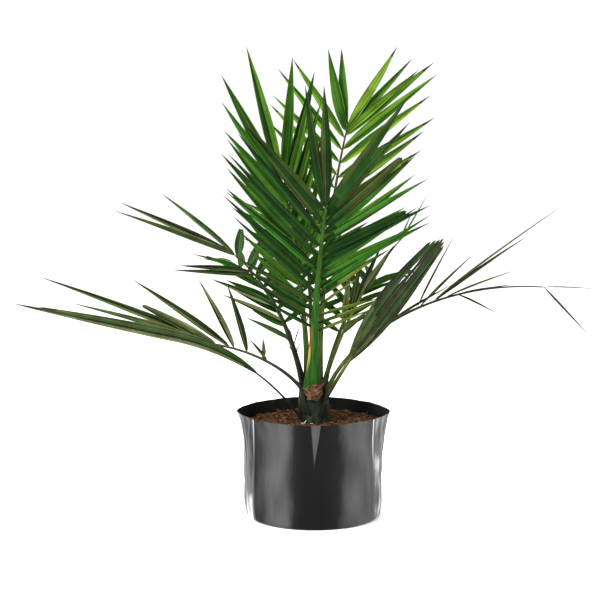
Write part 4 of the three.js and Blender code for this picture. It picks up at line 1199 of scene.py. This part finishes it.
stem_finish = grain_finish("stem_leaf_bases", STEM_STOPS, 160.0, 0.65, 0.2, 0.8, 0.7, 0.08)
stem_theta = ring(STEM_COLUMNS)
stem_height = np.linspace(STEM_FOOT - STEM_SUNK, STEM_TOP, STEM_ROWS)[:, None]
stem_around = stem_radius(stem_height) + stem_relief(stem_theta, stem_height)
stem_points = joined(stem_around * np.cos(stem_theta), stem_around * np.sin(stem_theta), stem_height)
stem_points = np.concatenate([stem_points[:1], stem_points, stem_points[-1:]])
stem_points[0] = (0, 0, STEM_FOOT - STEM_SUNK)
stem_points[-1] = (0, 0, STEM_TOP + STEM_CROWN)
piece("stem_leaf_bases", stem_points, [stem_finish], "stem", ["stem_base"])

# %% [markdown]
# ## The fibre mat
# A date palm weaves a mat of brown fibre between its leaf bases. The mat is a bulging shield on the front of
# the stem, and the weave on it is a few hundred separate strands that cross each other at a slant.

# %% Fibre finishes
FIBRE_TINTS = [("2a190f", "43291a"), ("55372a", "74503c"), ("7c5a45", "a07c62")]
fibre_finishes = [soil_finish(f"fibre_{i}", *tints) for i, tints in enumerate(FIBRE_TINTS)]
print("fibre finishes:", len(fibre_finishes))

# %% Fibre shield
FIBRE_LOW, FIBRE_HIGH, FIBRE_SLANT = 179.0, 203.0, 5.0
FIBRE_MIDDLE, FIBRE_FOOT, FIBRE_WIDENS, WIDE_FROM, WIDEN_POWER = 1, 6, 5.5, 0.4, 0.8
FIBRE_ROUND, FIBRE_BULGE, BULGED, BULGE_POWER, FIBRE_BACK = 17.0, 3.2, (0.02, 0.98), 0.4, -4.0
FIBRE_ROWS, FIBRE_COLUMNS = 24, 28
FIBRE_UNEVEN, FIBRE_REACH = 0.4, (12, 24)


def fibre_place(share_up, share_across, lift):
    """A point of the mat: a shield that is narrower below, higher on its right, bent round the stem and
    raised from it."""
    height = between((FIBRE_LOW, FIBRE_HIGH + FIBRE_SLANT * share_across), share_up)
    half = FIBRE_FOOT + FIBRE_WIDENS * np.clip(share_up / WIDE_FROM, 0, 1) ** WIDEN_POWER
    x = FIBRE_MIDDLE + half * share_across
    radius = np.maximum(stem_radius(height), FIBRE_ROUND) + lift
    return joined(x, -np.sqrt(np.maximum(radius**2 - x**2, 1)), height)


shield_up = np.linspace(0, 1, FIBRE_ROWS)[:, None]
shield_across = np.linspace(-1, 1, FIBRE_COLUMNS)
shield_rise = np.sin(np.pi * np.clip(shield_up, *BULGED)) ** BULGE_POWER
shield_lift = FIBRE_BULGE * (1 - shield_across**4) * shield_rise
shield_lift = shield_lift + FIBRE_UNEVEN * swell(joined(shield_across, shield_up) * FIBRE_REACH, 4, 41)
shield_front = fibre_place(shield_up, shield_across, shield_lift)
shield_back = fibre_place(shield_up, shield_across[::-1], FIBRE_BACK)
shield_points = np.concatenate([shield_front, shield_back], axis=1)
shield_points[[0, -1]] = shield_points[[0, -1]].mean(axis=1, keepdims=True)
piece("fibre_shield", shield_points, fibre_finishes[:1], "fibre", ["leaf_base_fibre"])

# %% Fibre strands
FIBRES, FIBRE_UP, FIBRE_ACROSS, FIBRE_LIFT = 420, (0.02, 0.85), (-0.95, 0.95), 0.3
FIBRE_SLANTS, FIBRE_TILT, FIBRE_BEND = (0.5, 1.1), (-0.05, 0.12), 0.12
FIBRE_LENGTH, FIBRE_RADIUS = (3, 9), (0.2, 0.42)

fibre_dice = np.random.default_rng(9)
fibre_up = fibre_dice.uniform(*FIBRE_UP, FIBRES)
fibre_across = fibre_dice.uniform(*FIBRE_ACROSS, FIBRES)
fibre_slant = fibre_dice.choice([-1, 1], FIBRES) * fibre_dice.uniform(*FIBRE_SLANTS, FIBRES)
fibre_way = joined(np.sin(fibre_slant), fibre_dice.normal(*FIBRE_TILT, FIBRES), np.cos(fibre_slant))
fibre_points = strands(
    fibre_place(fibre_up, fibre_across, FIBRE_BULGE * (1 - fibre_across**4) + FIBRE_LIFT),
    unit(fibre_way),
    fibre_dice.normal(0, FIBRE_BEND, (FIBRES, 3)),
    fibre_dice.uniform(*FIBRE_LENGTH, FIBRES),
    fibre_dice.uniform(*FIBRE_RADIUS, FIBRES),
)
fibre_kinds = fibre_dice.integers(0, len(FIBRE_TINTS), (FIBRES, 1, 1))
piece("fibre_strands", fibre_points, fibre_finishes, "fibre", kinds=fibre_kinds)

# %% [markdown]
# ## Thorns and loose fibres
# Up close the plant is not tidy: small thorns along one edge of the green stalk, dark hairs between the
# stalks, dry threads on the stem and a few pale rootlets at the soil. All of them are the same thin tubes as
# the coir, each kind with its own start, direction and size.

# %% Thorns on the front stalk
THORNS, THORNED, THORN_ROOT, THORN_RISE = 16, (0.08, 0.2), 0.3, 0.8
THORN_BEND, THORN_LENGTH, THORN_RADIUS = 0.15, (2.5, 4.5), (0.3, 0.5)

thorn_dice = np.random.default_rng(14)
thorn_t = np.linspace(*THORNED, THORNS)
thorn_point, thorn_along, thorn_side, _ = rachis_frame(LEAVES["frond_front"], thorn_t)
thorn_reach = stalk_radius(LEAVES["frond_front"], thorn_t)[:, None] - THORN_ROOT
thorn_points = strands(
    thorn_point - thorn_reach * thorn_side,
    unit(THORN_RISE * thorn_along - thorn_side),
    thorn_dice.normal(0, THORN_BEND, (THORNS, 3)),
    thorn_dice.uniform(*THORN_LENGTH, THORNS),
    thorn_dice.uniform(*THORN_RADIUS, THORNS),
)
piece("stalk_thorns", thorn_points, [stalk_finishes["dark"]], "leaf_deep")

# %% Hairs, threads and rootlets
HAIRY_STALKS, HAIRS_EACH = ("frond_left", "frond_back_left"), 5
HAIRED, HAIR_ROOT, HAIR_RISE = (0.15, 0.32), 0.3, 1.6
THREAD_TURN, THREAD_LOW, THREAD_LEAN, THREAD_STRAY = (-35, 5), (145, 165), 0.12, 0.1
ROOTLET_LEFT, ROOTLET_RIGHT = (-24, -29, SOIL_TOP + 1), (-8, -25, SOIL_TOP + 3)
ROOTLET_WAY, ROOTLET_STRAY = (1, 0, 0.1), 0.3
LOOSE_COUNTS = HAIRS, THREADS, ROOTLETS = len(HAIRY_STALKS) * HAIRS_EACH, 16, 5
LOOSE_LENGTHS = ((22, 40), (6, 18), (4, 9))
HAIR_RADIUS, THREAD_RADIUS, ROOTLET_RADIUS = (0.8, 1.1), (0.15, 0.3), 0.8
LOOSE_BEND, LOOSE_STATIONS = 0.16, 8

thread_finish = soil_finish("dry_thread", "34321f", "58543a")
rootlet_finish = soil_finish("pale_rootlet", "8c8c74", "b4b49c")
hair_dice = np.random.default_rng(15)
loose_start, loose_way = [], []
for name in HAIRY_STALKS:
    hair_t = hair_dice.uniform(*HAIRED, HAIRS_EACH)
    hair_point, hair_along, hair_side, hair_face = rachis_frame(LEAVES[name], hair_t)
    hair_turn = hair_dice.uniform(0, 2 * np.pi, (HAIRS_EACH, 1))
    hair_out = np.cos(hair_turn) * hair_side + np.sin(hair_turn) * hair_face
    loose_start.append(hair_point + HAIR_ROOT * stalk_radius(LEAVES[name], hair_t)[:, None] * hair_out)
    loose_way.append(unit(hair_out + HAIR_RISE * hair_along))
thread_turn = np.radians(hair_dice.uniform(*THREAD_TURN, THREADS))
thread_low = hair_dice.uniform(*THREAD_LOW, THREADS)
thread_out = joined(np.cos(thread_turn), np.sin(thread_turn), 0)
thread_radius = stem_radius(thread_low) + stem_relief(thread_turn, thread_low)
loose_start.append(thread_out * thread_radius[:, None] + UP * thread_low[:, None])
loose_start.append(hair_dice.uniform(ROOTLET_LEFT, ROOTLET_RIGHT, (ROOTLETS, 3)))
loose_way.append(unit(UP + THREAD_LEAN * thread_out + hair_dice.normal(0, THREAD_STRAY, (THREADS, 3))))
loose_way.append(unit(hair_dice.normal(ROOTLET_WAY, ROOTLET_STRAY, (ROOTLETS, 3))))
loose_length = [hair_dice.uniform(*length, count) for length, count in zip(LOOSE_LENGTHS, LOOSE_COUNTS)]
hair_radius = hair_dice.uniform(*HAIR_RADIUS, HAIRS)
thread_thick = hair_dice.uniform(*THREAD_RADIUS, THREADS)
loose_points = strands(
    np.concatenate(loose_start),
    np.concatenate(loose_way),
    hair_dice.normal(0, LOOSE_BEND, (sum(LOOSE_COUNTS), 3)),
    np.concatenate(loose_length),
    np.concatenate([hair_radius, thread_thick, np.full(ROOTLETS, ROOTLET_RADIUS)]),
    LOOSE_STATIONS,
)
loose_finishes = [stalk_finishes["dark"], thread_finish, rootlet_finish]
loose_kinds = np.repeat([0, 1, 2], LOOSE_COUNTS)[:, None, None]
piece("loose_fibres", loose_points, loose_finishes, "fibre", kinds=loose_kinds)
